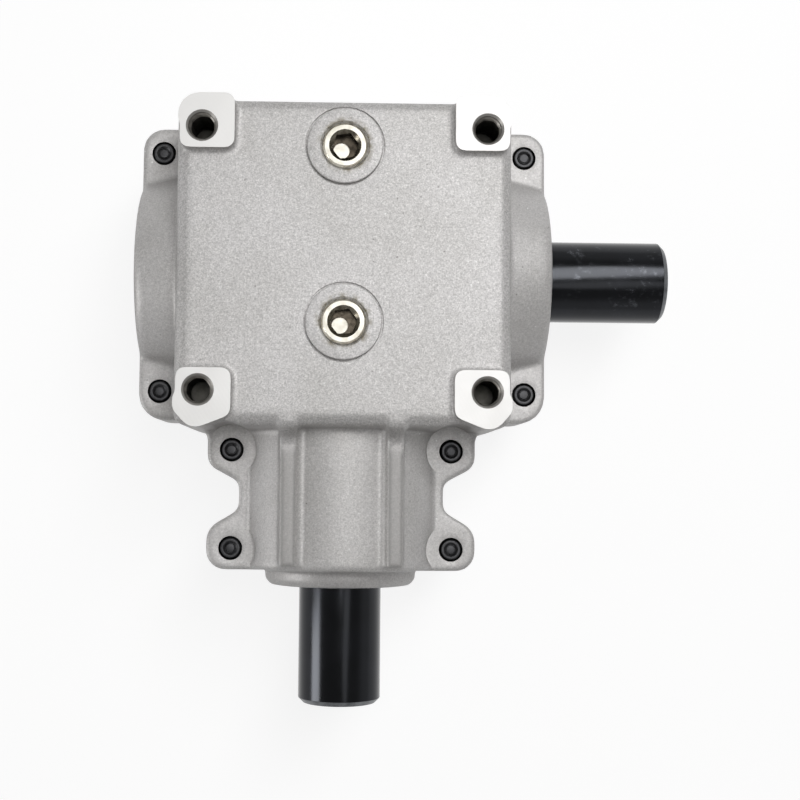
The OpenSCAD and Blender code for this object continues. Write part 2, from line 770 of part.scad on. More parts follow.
upper_housing();
lower_housing();
housing_screws();
locating_dowels();
fill_plug();
level_plug();
blind_end_cap();
output_shaft();
output_gear();
output_gear_key();
output_spacer_sleeve();
output_drive_end_ring();
output_blind_end_ring();
output_shim();
output_oil_seal();
output_seal_case();
output_seal_spring();
output_drive_bearing_outer();
output_drive_bearing_inner();
output_drive_bearing_balls();
output_drive_bearing_cage();
output_blind_bearing_outer();
output_blind_bearing_inner();
output_blind_bearing_balls();
output_blind_bearing_cage();
input_shaft();
input_pinion();
input_pinion_key();
input_pinion_ring();
input_spacer_sleeve();
input_bearing_ring();
input_shim();
input_oil_seal();
input_seal_case();
input_seal_spring();
input_rear_bearing_outer();
input_rear_bearing_inner();
input_rear_bearing_balls();
input_rear_bearing_cage();
input_front_bearing_outer();
input_front_bearing_inner();
input_front_bearing_balls();
input_front_bearing_cage();
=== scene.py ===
"""Looks of a right-angle bevel gearbox for a mower deck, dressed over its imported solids.

Lengths are in metres and +Z is up. The frame gives every size that the pieces share.
"""

import json
import logging
import math
from dataclasses import dataclass, field
from enum import Enum
from typing import Any, Callable, Optional, Sequence

import bmesh
import bpy
from mathutils import Matrix, Vector
from mathutils.bvhtree import BVHTree

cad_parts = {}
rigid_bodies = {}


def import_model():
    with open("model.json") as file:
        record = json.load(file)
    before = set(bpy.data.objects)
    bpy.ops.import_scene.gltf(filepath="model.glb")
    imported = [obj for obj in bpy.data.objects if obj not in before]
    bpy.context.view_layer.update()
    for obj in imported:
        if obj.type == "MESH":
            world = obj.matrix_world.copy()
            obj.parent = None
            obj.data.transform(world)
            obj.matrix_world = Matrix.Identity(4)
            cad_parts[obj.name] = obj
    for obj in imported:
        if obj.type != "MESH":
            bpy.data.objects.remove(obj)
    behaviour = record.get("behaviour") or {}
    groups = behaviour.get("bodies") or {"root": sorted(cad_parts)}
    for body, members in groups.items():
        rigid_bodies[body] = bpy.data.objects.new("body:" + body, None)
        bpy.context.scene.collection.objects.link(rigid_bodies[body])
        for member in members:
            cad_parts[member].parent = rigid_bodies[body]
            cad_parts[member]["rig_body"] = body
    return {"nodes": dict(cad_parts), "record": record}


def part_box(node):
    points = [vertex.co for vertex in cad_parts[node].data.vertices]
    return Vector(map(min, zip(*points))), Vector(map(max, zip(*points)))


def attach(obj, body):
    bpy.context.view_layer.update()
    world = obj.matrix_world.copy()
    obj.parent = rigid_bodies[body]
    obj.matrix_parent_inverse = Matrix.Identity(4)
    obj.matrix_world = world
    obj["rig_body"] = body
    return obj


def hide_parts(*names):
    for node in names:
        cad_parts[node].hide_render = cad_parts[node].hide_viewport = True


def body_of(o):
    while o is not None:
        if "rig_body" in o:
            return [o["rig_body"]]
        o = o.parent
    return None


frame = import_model()

LOG = logging.getLogger("gearbox")
MM = 0.001
# Points of a CAD mesh that are nearer than this are one
WELD = 0.002 * MM
# How far a face may be from a plane and still lie on it
TOUCH = 0.01 * MM
# A ring smaller than this is one point on the axis
ON_AXIS = 1e-9
# A face whose unit normal has more than this along an axis faces that way, or lies flat across it
FACING = 0.9
FLAT = 0.95
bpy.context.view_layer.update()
NODES = frame["nodes"]
Point = tuple[float, float]
# Gives a radius from a radius, an angle and a station
Shape = Callable[[float, float, float], float]


class Way(Enum):
    """Directions in which turned pieces are drawn, from the crossing point of the shafts."""

    UP = (0.0, 0.0, 1.0)
    OUTPUT = (1.0, 0.0, 0.0)
    BLIND = (-1.0, 0.0, 0.0)
    INPUT = (0.0, -1.0, 0.0)


class Slot(Enum):
    """Material slots of the record."""

    CAST = "cast_aluminium"
    BLACK = "black_oxide_steel"
    PLATED = "plated_steel"
    BEARING = "bearing_steel"
    GEAR = "gear_steel"
    SPRING = "spring_steel"
    RUBBER = "seal_rubber"
    BRASS = "cage_brass"


def mount(name: str) -> dict[str, Any]:
    """The record's mount of that name."""
    return next(m for m in frame["record"]["mounts"] if m["name"] == name)


def low(node: str, axis: int) -> float:
    """Lowest coordinate of a solid on one axis."""
    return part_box(node)[0][axis]


def high(node: str, axis: int) -> float:
    """Highest coordinate of a solid on one axis."""
    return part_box(node)[1][axis]


@dataclass(frozen=True)
class GearboxSizes:
    """Sizes shared by the pieces, read from the frame where a solid shows them."""

    plane: float = (low("output_shaft", 2) + high("output_shaft", 2)) / 2
    base: float = low("lower_housing", 2)
    barrel_end: float = high("upper_housing", 0)
    collar_end: float = -low("upper_housing", 1)
    output_end: float = high("output_shaft", 0)
    output_blind: float = -low("output_shaft", 0)
    input_end: float = -low("input_shaft", 1)
    input_tail: float = -high("input_shaft", 1)
    shaft_r: float = mount("output_shaft_end")["dims"]["r_mm"] * MM
    journal_r: float = (high("output_shaft", 2) - low("output_shaft", 2)) / 2
    bearing_r: float = high("output_drive_bearing_outer", 1)
    bearing_w: float = high("output_drive_bearing_outer", 0) - low("output_drive_bearing_outer", 0)
    out_bearing: float = low("output_drive_bearing_outer", 0)
    in_rear: float = -high("input_rear_bearing_outer", 1)
    in_front: float = -high("input_front_bearing_outer", 1)
    out_seal: float = low("output_seal_case", 0)
    out_seal_end: float = high("output_oil_seal", 0)
    in_seal: float = -high("input_seal_case", 1)
    in_seal_end: float = -low("input_oil_seal", 1)
    in_seal_r: float = high("input_seal_case", 0)
    pad_x: float = mount("mounting_pads")["dims"]["spacing_x_mm"] * MM
    pad_y: float = mount("mounting_pads")["dims"]["spacing_y_mm"] * MM
    pad_drill_r: float = mount("mounting_pads")["dims"]["hole_r_mm"] * MM
    key_w: float = high("output_gear_key", 1) - low("output_gear_key", 1)
    screw_top: float = high("housing_screws", 2)
    screw_low: float = low("housing_screws", 2)

    @property
    def body_top(self) -> float:
        """Height of the casting's upper face, which mirrors its underside."""
        return 2 * self.plane - self.base

    @property
    def pads(self) -> list[Point]:
        """Centres of the four pad holes in plan."""
        return [(sx * self.pad_x / 2, sy * self.pad_y / 2) for sx in (-1, 1) for sy in (-1, 1)]


SIZE = GearboxSizes()


# Colour and nodes
def linear(code: str) -> tuple[float, float, float, float]:
    """Turns an sRGB hex colour into linear values.

    Args:
        code: Six hex digits, such as "C8C6C2".

    Returns:
        Red, green, blue and full opacity.
    """
    levels = [int(code[i:i + 2], 16) / 255 for i in (0, 2, 4)]
    return (*[v / 12.92 if v <= 0.04045 else ((v + 0.055) / 1.055) ** 2.4 for v in levels], 1.0)


def grey(value: float) -> tuple[float, float, float, float]:
    """A linear grey of that value."""
    return (value, value, value, 1.0)


def node(tree: bpy.types.NodeTree, kind: str, settings: Optional[dict[Any, Any]] = None,
         links: Optional[dict[Any, Any]] = None, stops: Sequence[tuple[float, tuple]] = (),
         **attributes: Any) -> bpy.types.Node:
    """Adds a node to a tree.

    Args:
        tree: Tree that gets the node.
        kind: Type name of the node.
        settings: Values of its input sockets, by name or number.
        links: Output sockets to join to its inputs, by name or number.
        stops: Position and linear colour of each stop of a colour ramp.
        **attributes: Settings of the node itself.

    Returns:
        The new node.
    """
    made = tree.nodes.new(kind)
    for name, value in attributes.items():
        setattr(made, name, value)
    for key, value in (settings or {}).items():
        made.inputs[key].default_value = value
    for key, source in (links or {}).items():
        tree.links.new(source, made.inputs[key])
    if stops:
        elements = made.color_ramp.elements
        while len(elements) < len(stops):
            elements.new(0.5)
        for element, (place, colour) in zip(elements, stops):
            element.position = place
            element.color = colour
    return made


def cleared(owner: Any) -> bpy.types.NodeTree:
    """Turns on the nodes of a material or world, and returns its emptied tree.

    Args:
        owner: Material or world.

    Returns:
        The emptied tree.
    """
    owner.use_nodes = True
    owner.node_tree.nodes.clear()
    return owner.node_tree


def blank_material(name: str) -> tuple[bpy.types.Material, bpy.types.NodeTree, bpy.types.Node]:
    """A new material with only a Principled BSDF and its output.

    Args:
        name: Name of the finish.

    Returns:
        The material, its node tree and the shader node.
    """
    material = bpy.data.materials.new(name)
    tree = cleared(material)
    shader = node(tree, "ShaderNodeBsdfPrincipled")
    node(tree, "ShaderNodeOutputMaterial", links={"Surface": shader.outputs[0]})
    return material, tree, shader


@dataclass(frozen=True)
class CastAluminium:
    """Die-cast aluminium, blasted with fine steel shot: matt grey, with tiny dents, specks and pits."""

    name: str = "shot_blasted_cast_aluminium"
    colour: str = "CFCDCC"
    stain: str = "C6C4C2"
    pit_colour: str = "8A8784"
    speck_colour: str = "F4F4F3"
    # The oxide skin scatters most of the light, so it is only part metal
    metallic: float = 0.35
    roughness: float = 0.52
    # What the dents' noise adds to the roughness at its lowest and highest
    gloss: Point = (-0.05, 0.07)
    grain: float = 0.42 * MM
    grain_contrast: float = 0.25
    mottle: float = 0.15
    # The deep sides leave the mould smoother than the top: the heights between which the grain fades
    grain_z: tuple[float, float] = (-15 * MM, -6 * MM)
    side_grain: float = 0.6
    # Dents of 0.5 mm shot, drawn at 0.8 mm so that they show at the photograph's distance
    dent: float = 0.8 * MM
    dent_depth: float = 0.042 * MM
    cloud: float = 30 * MM
    pit: float = 1.7 * MM
    # The ribs' tops are tinted darker than the rest of the casting
    darker_rib_top_colour: str = "9B9997"
    rib_mix: float = 0.62
    rib_x: tuple[float, float] = (13.4 * MM, 18.0 * MM)
    rib_back: float = -53 * MM
    rib_drop: float = 10.8 * MM
    # Oil and thread paste have crept out round the plugs
    stain_r: tuple[float, float] = (7.1 * MM, 8.8 * MM)
    stain_colour: str = "8B8474"

    def ribs(self, tree: bpy.types.NodeTree, place: Any) -> Any:
        """A factor that is 1 on the tops of the two neck ribs.

        Args:
            tree: Tree that gets the nodes.
            place: Socket of the place on Object coordinates.

        Returns:
            Socket of the factor.
        """
        parts = node(tree, "ShaderNodeSeparateXYZ", links={0: place})
        aside = node(tree, "ShaderNodeMath", links={0: parts.outputs[0]}, operation="ABSOLUTE").outputs[0]
        inner, outer = self.rib_x
        soft = 0.4 * MM
        total = None
        for source, start, stop in ((aside, inner - soft, inner + soft), (aside, outer + soft, outer - soft),
                                    (parts.outputs[1], self.rib_back, self.rib_back - 3 * MM),
                                    (parts.outputs[2], -self.rib_drop - 0.9 * MM, -self.rib_drop - 0.2 * MM)):
            edge = node(tree, "ShaderNodeMapRange", {"From Min": start, "From Max": stop}, {"Value": source},
                        interpolation_type="SMOOTHSTEP").outputs[0]
            total = edge if total is None else node(tree, "ShaderNodeMath", links={0: total, 1: edge},
                                                    operation="MULTIPLY").outputs[0]
        return node(tree, "ShaderNodeMath", {1: self.rib_mix}, {0: total}, operation="MULTIPLY").outputs[0]

    def stains(self, tree: bpy.types.NodeTree, place: Any) -> Any:
        """A patchy factor round the two plugs.

        Args:
            tree: Tree that gets the nodes.
            place: Socket of the place on Object coordinates.

        Returns:
            Socket of the factor.
        """
        flat = node(tree, "ShaderNodeVectorMath", {1: (1.0, 1.0, 0.0)}, {0: place}, operation="MULTIPLY")
        patchy = node(tree, "ShaderNodeTexNoise", {"Scale": 1 / (2.6 * MM), "Detail": 5.0, "Roughness": 0.7},
                      {"Vector": place})
        patches = node(tree, "ShaderNodeValToRGB", links={"Fac": patchy.outputs["Fac"]},
                       stops=[(0.44, grey(0.0)), (0.60, grey(1.0))]).outputs[0]
        nearest = None
        for name in ("fill_plug", "level_plug"):
            spot = sum(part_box(name), Vector()) / 2
            away = node(tree, "ShaderNodeVectorMath", {1: (spot.x, spot.y, 0.0)}, {0: flat.outputs[0]},
                        operation="DISTANCE").outputs["Value"]
            nearest = away if nearest is None else node(tree, "ShaderNodeMath", links={0: nearest, 1: away},
                                                        operation="MINIMUM").outputs[0]
        near = node(tree, "ShaderNodeMapRange", {"From Min": self.stain_r[1], "From Max": self.stain_r[0]},
                    {"Value": nearest})
        return node(tree, "ShaderNodeMath", links={0: near.outputs[0], 1: patches},
                    operation="MULTIPLY").outputs[0]

    def make(self) -> bpy.types.Material:
        """Builds the material.

        Returns:
            The finished material.
        """
        material, tree, shader = blank_material(self.name)
        place = node(tree, "ShaderNodeTexCoord").outputs["Object"]
        dents, grain, clouds = (
            node(tree, "ShaderNodeTexNoise", {"Scale": 1 / size, "Detail": detail, "Roughness": roughness},
                 {"Vector": place}).outputs["Fac"]
            for size, detail, roughness in ((self.dent, 3.0, 0.62), (self.grain, 2.0, 0.7),
                                            (self.cloud, 4.0, 0.6)))
        base = node(tree, "ShaderNodeValToRGB", links={"Fac": clouds},
                    stops=[(0.35, linear(self.stain)), (0.62, linear(self.colour))]).outputs[0]
        fine, broad = (
            node(tree, "ShaderNodeMapRange", {"From Min": 0.3, "From Max": 0.7, "To Min": 1 - contrast,
                                              "To Max": 1 + contrast}, {"Value": source}).outputs[0]
            for source, contrast in ((grain, self.grain_contrast), (dents, -self.mottle)))
        tone = node(tree, "ShaderNodeMath", links={0: fine, 1: broad}, operation="MULTIPLY").outputs[0]
        height = node(tree, "ShaderNodeSeparateXYZ", links={0: place}).outputs[2]
        share = node(tree, "ShaderNodeMapRange", {"From Min": self.grain_z[0], "From Max": self.grain_z[1],
                     "To Min": self.side_grain, "To Max": 1.0}, {"Value": height}).outputs[0]
        swing = node(tree, "ShaderNodeMath", {1: 1.0}, {0: tone}, operation="SUBTRACT").outputs[0]
        tone = node(tree, "ShaderNodeMath", {2: 1.0}, {0: swing, 1: share}, operation="MULTIPLY_ADD")
        colour = node(tree, "ShaderNodeVectorMath", links={0: base, "Scale": tone.outputs[0]},
                      operation="SCALE").outputs[0]
        cells = node(tree, "ShaderNodeTexVoronoi", {"Scale": 1 / self.pit, "Randomness": 1.0},
                     {"Vector": place})
        near = node(tree, "ShaderNodeValToRGB", links={"Fac": cells.outputs["Distance"]},
                    stops=[(0.06, grey(1)), (0.20, grey(0))]).outputs[0]
        chosen = node(tree, "ShaderNodeSeparateColor", links={"Color": cells.outputs["Color"]})
        masks = []
        for channel, rarest, shade in ((0, 0.90, self.pit_colour), (1, 0.86, self.speck_colour)):
            spots = node(tree, "ShaderNodeMapRange", {"From Min": rarest, "From Max": 1.0},
                         {"Value": chosen.outputs[channel]})
            mask = node(tree, "ShaderNodeMath", links={0: near, 1: spots.outputs[0]}, operation="MULTIPLY")
            masks.append((mask.outputs[0], shade))
        masks += [(self.ribs(tree, place), self.darker_rib_top_colour), (self.stains(tree, place), self.stain_colour)]
        for mask, shade in masks:
            colour = node(tree, "ShaderNodeMix", {7: linear(shade)}, {0: mask, 6: colour},
                          data_type="RGBA").outputs[2]
        tree.links.new(colour, shader.inputs["Base Color"])
        shader.inputs["Metallic"].default_value = self.metallic
        rough = node(tree, "ShaderNodeMapRange", {"To Min": self.roughness + self.gloss[0],
                                                  "To Max": self.roughness + self.gloss[1]},
                     {"Value": dents})
        tree.links.new(rough.outputs[0], shader.inputs["Roughness"])
        bump = node(tree, "ShaderNodeBump", {"Distance": self.dent_depth, "Strength": 1.0},
                    {"Height": dents})
        tree.links.new(bump.outputs[0], shader.inputs["Normal"])
        return material


@dataclass(frozen=True)
class MachinedAluminium:
    """Face-milled aluminium: bright and smooth, with faint arcs left by the cutter."""

    name: str = "face_milled_aluminium"
    colour: str = "EAE9E7"
    # Bright aluminium under a fine haze of oxide
    metallic: float = 0.45
    roughness: float = 0.50
    # What the broad grain adds to the roughness at its lowest and highest
    gloss: Point = (-0.05, 0.06)
    cloud: float = 7 * MM
    # Feed marks stand 0.4 mm apart, drawn at 1.1 mm so that they show
    feed: float = 1.1 * MM
    mark_depth: float = 0.004 * MM
    cutter_centre: tuple[float, float, float] = (-0.3, -0.22, 0.0)
    # A wave texture of scale 1 draws this many rings in a metre
    rings_per_metre: float = 3.18

    def make(self) -> bpy.types.Material:
        """Builds the material.

        Returns:
            The finished material.
        """
        material, tree, shader = blank_material(self.name)
        place = node(tree, "ShaderNodeTexCoord").outputs["Object"]
        moved = node(tree, "ShaderNodeMapping", {"Location": [-v for v in self.cutter_centre]},
                     {"Vector": place})
        arcs = node(tree, "ShaderNodeTexWave", {"Scale": 1 / self.feed / self.rings_per_metre,
                                                   "Distortion": 0.6, "Detail": 2.0},
                    {"Vector": moved.outputs[0]}, wave_type="RINGS", rings_direction="Z")
        grain = node(tree, "ShaderNodeTexNoise", {"Scale": 1 / self.cloud, "Detail": 3.0}, {"Vector": place})
        shader.inputs["Base Color"].default_value = linear(self.colour)
        shader.inputs["Metallic"].default_value = self.metallic
        rough = node(tree, "ShaderNodeMapRange", {"To Min": self.roughness + self.gloss[0],
                                                  "To Max": self.roughness + self.gloss[1]},
                     {"Value": grain.outputs["Fac"]})
        tree.links.new(rough.outputs[0], shader.inputs["Roughness"])
        bump = node(tree, "ShaderNodeBump", {"Distance": self.mark_depth, "Strength": 1.0},
                    {"Height": arcs.outputs["Fac"]})
        tree.links.new(bump.outputs[0], shader.inputs["Normal"])
        return material


@dataclass(frozen=True)
class GrainedFinish:
    """Metal or rubber with a fine grain, and smudges, dust or scuffs of their own scale."""

    name: str
    colour: str
    smudge: str
    roughness: float
    metallic: float = 1.0
    ior: Optional[float] = None
    grain: float = 0.5 * MM
    grain_depth: float = 0.002 * MM
    cloud: float = 9 * MM
    cloud_detail: float = 4.0
    cloud_roughness: float = 0.6
    # Cloud levels between which the colour turns into the smudge
    smudged: Point = (0.35, 0.68)
    # What the clearest and the most smudged places add to the roughness
    gloss: Point = (-0.06, 0.08)
    # Scuffs are fine streaks that gather in patches. They are paler and duller than the rest
    scuff_colour: Optional[str] = None
    scuff: float = 2.2 * MM
    scuff_patch: float = 11 * MM
    scuff_spread: float = 0.45
    scuffed: Point = (0.575, 0.73)
    scuff_rough: float = 0.13

    def scuffs(self, tree: bpy.types.NodeTree, place: Any) -> Any:
        """A factor that is 1 in the scuffs.

        Args:
            tree: Tree that gets the nodes.
            place: Socket of the place on Object coordinates.

        Returns:
            Socket of the factor.
        """
        wear = node(tree, "ShaderNodeTexNoise", {"Scale": 1 / self.scuff, "Detail": 6.0, "Roughness": 0.75},
                    {"Vector": place})
        patch = node(tree, "ShaderNodeTexNoise", {"Scale": 1 / self.scuff_patch, "Detail": 2.0},
                     {"Vector": place})
        spread = node(tree, "ShaderNodeMath", {1: self.scuff_spread, 2: -self.scuff_spread / 2},
                      {0: patch.outputs["Fac"]}, operation="MULTIPLY_ADD")
        level = node(tree, "ShaderNodeMath", links={0: wear.outputs["Fac"], 1: spread.outputs[0]},
                     operation="ADD")
        return node(tree, "ShaderNodeValToRGB", links={"Fac": level.outputs[0]},
                    stops=[(self.scuffed[0], grey(0)), (self.scuffed[1], grey(1))]).outputs[0]

    def make(self) -> bpy.types.Material:
        """Builds the material.

        Returns:
            The finished material.
        """
        material, tree, shader = blank_material(self.name)
        place = node(tree, "ShaderNodeTexCoord").outputs["Object"]
        grain = node(tree, "ShaderNodeTexNoise", {"Scale": 1 / self.grain, "Detail": 2.0}, {"Vector": place})
        clouds = node(tree, "ShaderNodeTexNoise", {"Scale": 1 / self.cloud, "Detail": self.cloud_detail,
                                                   "Roughness": self.cloud_roughness},
                      {"Vector": place}).outputs["Fac"]
        colour = node(tree, "ShaderNodeValToRGB", links={"Fac": clouds}, stops=[
            (self.smudged[0], linear(self.colour)), (self.smudged[1], linear(self.smudge))]).outputs[0]
        rough = node(tree, "ShaderNodeMapRange", {"To Min": self.roughness + self.gloss[0],
                                                  "To Max": self.roughness + self.gloss[1]},
                     {"Value": clouds}).outputs[0]
        if self.scuff_colour:
            worn = self.scuffs(tree, place)
            colour = node(tree, "ShaderNodeMix", {7: linear(self.scuff_colour)}, {0: worn, 6: colour},
                          data_type="RGBA").outputs[2]
            rough = node(tree, "ShaderNodeMath", {1: self.scuff_rough}, {0: worn, 2: rough},
                         operation="MULTIPLY_ADD").outputs[0]
        tree.links.new(colour, shader.inputs["Base Color"])
        tree.links.new(rough, shader.inputs["Roughness"])
        shader.inputs["Metallic"].default_value = self.metallic
        if self.ior:
            shader.inputs["IOR"].default_value = self.ior
        bump = node(tree, "ShaderNodeBump", {"Distance": self.grain_depth, "Strength": 1.0},
                    {"Height": grain.outputs["Fac"]})
        tree.links.new(bump.outputs[0], shader.inputs["Normal"])
        return material


@dataclass(frozen=True)
class ThreadSealant:
    """Anaerobic thread paste, wiped round the plug and stained by oil and dust."""

    name: str = "dried_thread_sealant"
    colour: str = "A8A49B"
    dark: str = "67635B"
    roughness: float = 0.5
    lump: float = 1.6 * MM
    lump_depth: float = 0.12 * MM

    def make(self) -> bpy.types.Material:
        """Builds the material.

        Returns:
            The finished material.
        """
        material, tree, shader = blank_material(self.name)
        place = node(tree, "ShaderNodeTexCoord").outputs["Object"]
        clouds = node(tree, "ShaderNodeTexNoise", {"Scale": 1 / self.lump, "Detail": 5.0, "Roughness": 0.7},
                      {"Vector": place})
        colour = node(tree, "ShaderNodeValToRGB", links={"Fac": clouds.outputs["Fac"]},
                      stops=[(0.38, linear(self.dark)), (0.66, linear(self.colour))]).outputs[0]
        tree.links.new(colour, shader.inputs["Base Color"])
        shader.inputs["Roughness"].default_value = self.roughness
        bump = node(tree, "ShaderNodeBump", {"Distance": self.lump_depth, "Strength": 1.0},
                    {"Height": clouds.outputs["Fac"]})
        tree.links.new(bump.outputs[0], shader.inputs["Normal"])
        return material


CAST = CastAluminium()
MILLED = MachinedAluminium()
# Black oxide over a ground shaft: almost black, with a satin sheen and light handling scuffs
BLACK_SHAFT = GrainedFinish("black_oxide_ground_steel", "2E2F31", "313235", 0.18, grain_depth=0.0008 * MM,
                            scuff_colour="55575B")
# The input shaft has hardly been handled
CLEAN_SHAFT = GrainedFinish("clean_black_oxide_ground_steel", "2E2F31", "313235", 0.18,
                            grain_depth=0.0008 * MM)
# The same oxide on the shafts' end chamfers, paler: partly rubbed thin, partly a painted highlight along the
# rim
RUBBED_EDGE_AND_HIGHLIGHT = GrainedFinish("rubbed_oxide_edge_painted_highlight", "6A6C6F", "4C4E51", 0.34, cloud=2.5 * MM,
                            grain_depth=0.003 * MM)
# Black oxide on the rolled threads and heads of the screws: duller than the shafts
BLACK_SCREW = GrainedFinish("black_oxide_screw_steel", "3A3A3C", "4A4A4B", 0.42, grain_depth=0.004 * MM)
# Bright nickel plate over turned steel: a warm mirror with a few smudges
NICKEL = GrainedFinish("bright_nickel_plate", "DCD8CC", "C6C0B2", 0.16, grain_depth=0.001 * MM)
# The same plate over the turned end face, which is satin
NICKEL_FACE = GrainedFinish("satin_nickel_turned_face", "D3D0C7", "BCB8AD", 0.46, cloud=2.5 * MM,
                            grain_depth=0.003 * MM)
# Aluminium threads, stained by cutting oil and dust
TAPPED = GrainedFinish("oil_stained_tapped_aluminium", "A6A39E", "8A8782", 0.40, grain_depth=0.004 * MM)
# The same threads deeper down, painted dark as the shade inside the holes
PAINTED_SHADE_THREAD = GrainedFinish("painted_shade_deep_thread", "62605B", "3C3B37", 0.5, grain_depth=0.004 * MM)
# The countersinks of the pad holes: turned aluminium, greyer than the milled faces
COUNTERSINK = GrainedFinish("turned_countersink_aluminium", "A9A6A2", "94918D", 0.44, metallic=0.6,
                            grain_depth=0.004 * MM)
# Screw tips: a paler copy of the screw's oxide on the upward flat faces, painted as the light they catch
SCREW_TIP = GrainedFinish("painted_light_screw_tip", "929293", "6C6C6D", 0.42, grain_depth=0.004 * MM)
# Inside of a plug's hexagon: a dark brown that paints the shade in the socket
PAINTED_SHADE_SOCKET = GrainedFinish("painted_shade_plug_socket", "3A352E", "1E1B17", 0.26, cloud=2 * MM)
# The cone that leads into the hexagon, painted darker than the plate as shade
PAINTED_SHADE_CONE = GrainedFinish("painted_shade_plug_cone", "7F7A6E", "4F4A41", 0.26, cloud=2 * MM,
                            grain_depth=0.003 * MM)
# Through-hardened bearing steel, ground and lapped
BEARING = GrainedFinish("ground_bearing_steel", "C9CBCE", "B4B6BA", 0.17, grain=0.3 * MM,
                        grain_depth=0.001 * MM)
# Case-hardened gear steel, dull from heat treatment, with oil left in the roots
GEAR = GrainedFinish("case_hardened_gear_steel", "8C8E92", "6E7076", 0.34, grain_depth=0.004 * MM)
# Phosphated spring steel: dark grey, matt, slightly grainy
SPRING = GrainedFinish("phosphated_spring_steel", "5A5C60", "47494D", 0.45, grain_depth=0.004 * MM)
# Turned brass: yellow, softly bright
BRASS = GrainedFinish("turned_brass", "C9A662", "B08E4E", 0.26)
# Nitrile rubber from a polished mould: black, faintly glossy, with a little dust
RUBBER = GrainedFinish("moulded_nitrile_rubber", "17171A", "2B2A29", 0.48, metallic=0.0, ior=1.52,
                       grain_depth=0.01 * MM, cloud=4 * MM, cloud_detail=5.0, cloud_roughness=0.65,
                       smudged=(0.45, 0.75), gloss=(-0.08, 0.12))
SEALANT = ThreadSealant()
FINISHES: dict[str, bpy.types.Material] = {}


def finish(look: Any) -> bpy.types.Material:
    """The material of a finish, built once.

    Args:
        look: Finish to build or look up.

    Returns:
        Its material.
    """
    if look.name not in FINISHES:
        FINISHES[look.name] = look.make()
    return FINISHES[look.name]


def coat(piece: bpy.types.Object, *looks: Any) -> None:
    """Gives a piece its finishes, in the order of its faces' material numbers.

    Args:
        piece: Piece to dress.
        *looks: Finishes, from material number 0 up.
    """
    piece.data.materials.clear()
    for look in looks:
        piece.data.materials.append(finish(look))


# Meshes
def offset(r: float, station: float, corners: Sequence[tuple[float, ...]]) -> list[tuple[float, ...]]:
    """Corners of an outline, given in millimetres from a radius and a station."""
    return [(r + corner[0] * MM, station + corner[1] * MM, *(v * MM for v in corner[2:]))
            for corner in corners]


def shown(name: str, mesh: bpy.types.Mesh) -> bpy.types.Object:
    """Links a mesh to the scene as an object at the origin.

    Args:
        name: Name of the object.
        mesh: Mesh in the row frame.

    Returns:
        The object.
    """
    piece = bpy.data.objects.new(name, mesh)
    bpy.context.scene.collection.objects.link(piece)
    return piece


def dropped(piece: bpy.types.Object) -> None:
    """Deletes an object and its mesh.

    Args:
        piece: Object to delete.
    """
    mesh = piece.data
    bpy.data.objects.remove(piece)
    bpy.data.meshes.remove(mesh)


def baked(piece: bpy.types.Object) -> bpy.types.Object:
    """Applies an object's modifiers to its mesh and removes them.

    Args:
        piece: Object with modifiers.

    Returns:
        The same object, with a plain mesh.
    """
    depsgraph = bpy.context.evaluated_depsgraph_get()
    mesh = bpy.data.meshes.new_from_object(piece.evaluated_get(depsgraph))
    old = piece.data
    piece.modifiers.clear()
    piece.data = mesh
    bpy.data.meshes.remove(old)
    return piece


def placed(way: Way, x: float = 0.0, y: float = 0.0) -> Matrix:
    """Turns local +Z to a direction.

    Args:
        way: Direction of the piece's axis.
        x: Place of an upright axis along X.
        y: Place of an upright axis along Y.

    Returns:
        The matrix from local to row frame. Upright pieces keep their heights.
    """
    turn = Vector((0, 0, 1)).rotation_difference(Vector(way.value)).to_matrix().to_4x4()
    centre = (x, y, 0.0) if way is Way.UP else (0.0, 0.0, SIZE.plane)
    return Matrix.Translation(centre) @ turn


def rounded(corners: Sequence[tuple[float, float, float]], steps: int = 6,
            closed: bool = True) -> list[Point]:
    """A path whose corners are arcs.

    Args:
        corners: Each corner's two coordinates and its radius.
        steps: Segments of each arc.
        closed: Whether the last corner joins the first.

    Returns:
        The points of the path.
    """
    path: list[Point] = []
    count = len(corners)
    for i, (x, y, radius) in enumerate(corners):
        here = Vector((x, y))
        end = not closed and i in (0, count - 1)
        if radius <= 0 or end:
            path.append((x, y))
            continue
        back = (Vector(corners[i - 1][:2]) - here).normalized()
        ahead = (Vector(corners[(i + 1) % count][:2]) - here).normalized()
        half = back.angle(ahead) / 2
        centre = here + (back + ahead).normalized() * (radius / math.sin(half))
        start = here + back * (radius / math.tan(half)) - centre
        stop = here + ahead * (radius / math.tan(half)) - centre
        sweep = start.angle_signed(stop)
        for k in range(steps + 1):
            turn = Matrix.Rotation(-sweep * k / steps, 2)
            path.append(tuple(centre + turn @ start))
    return path


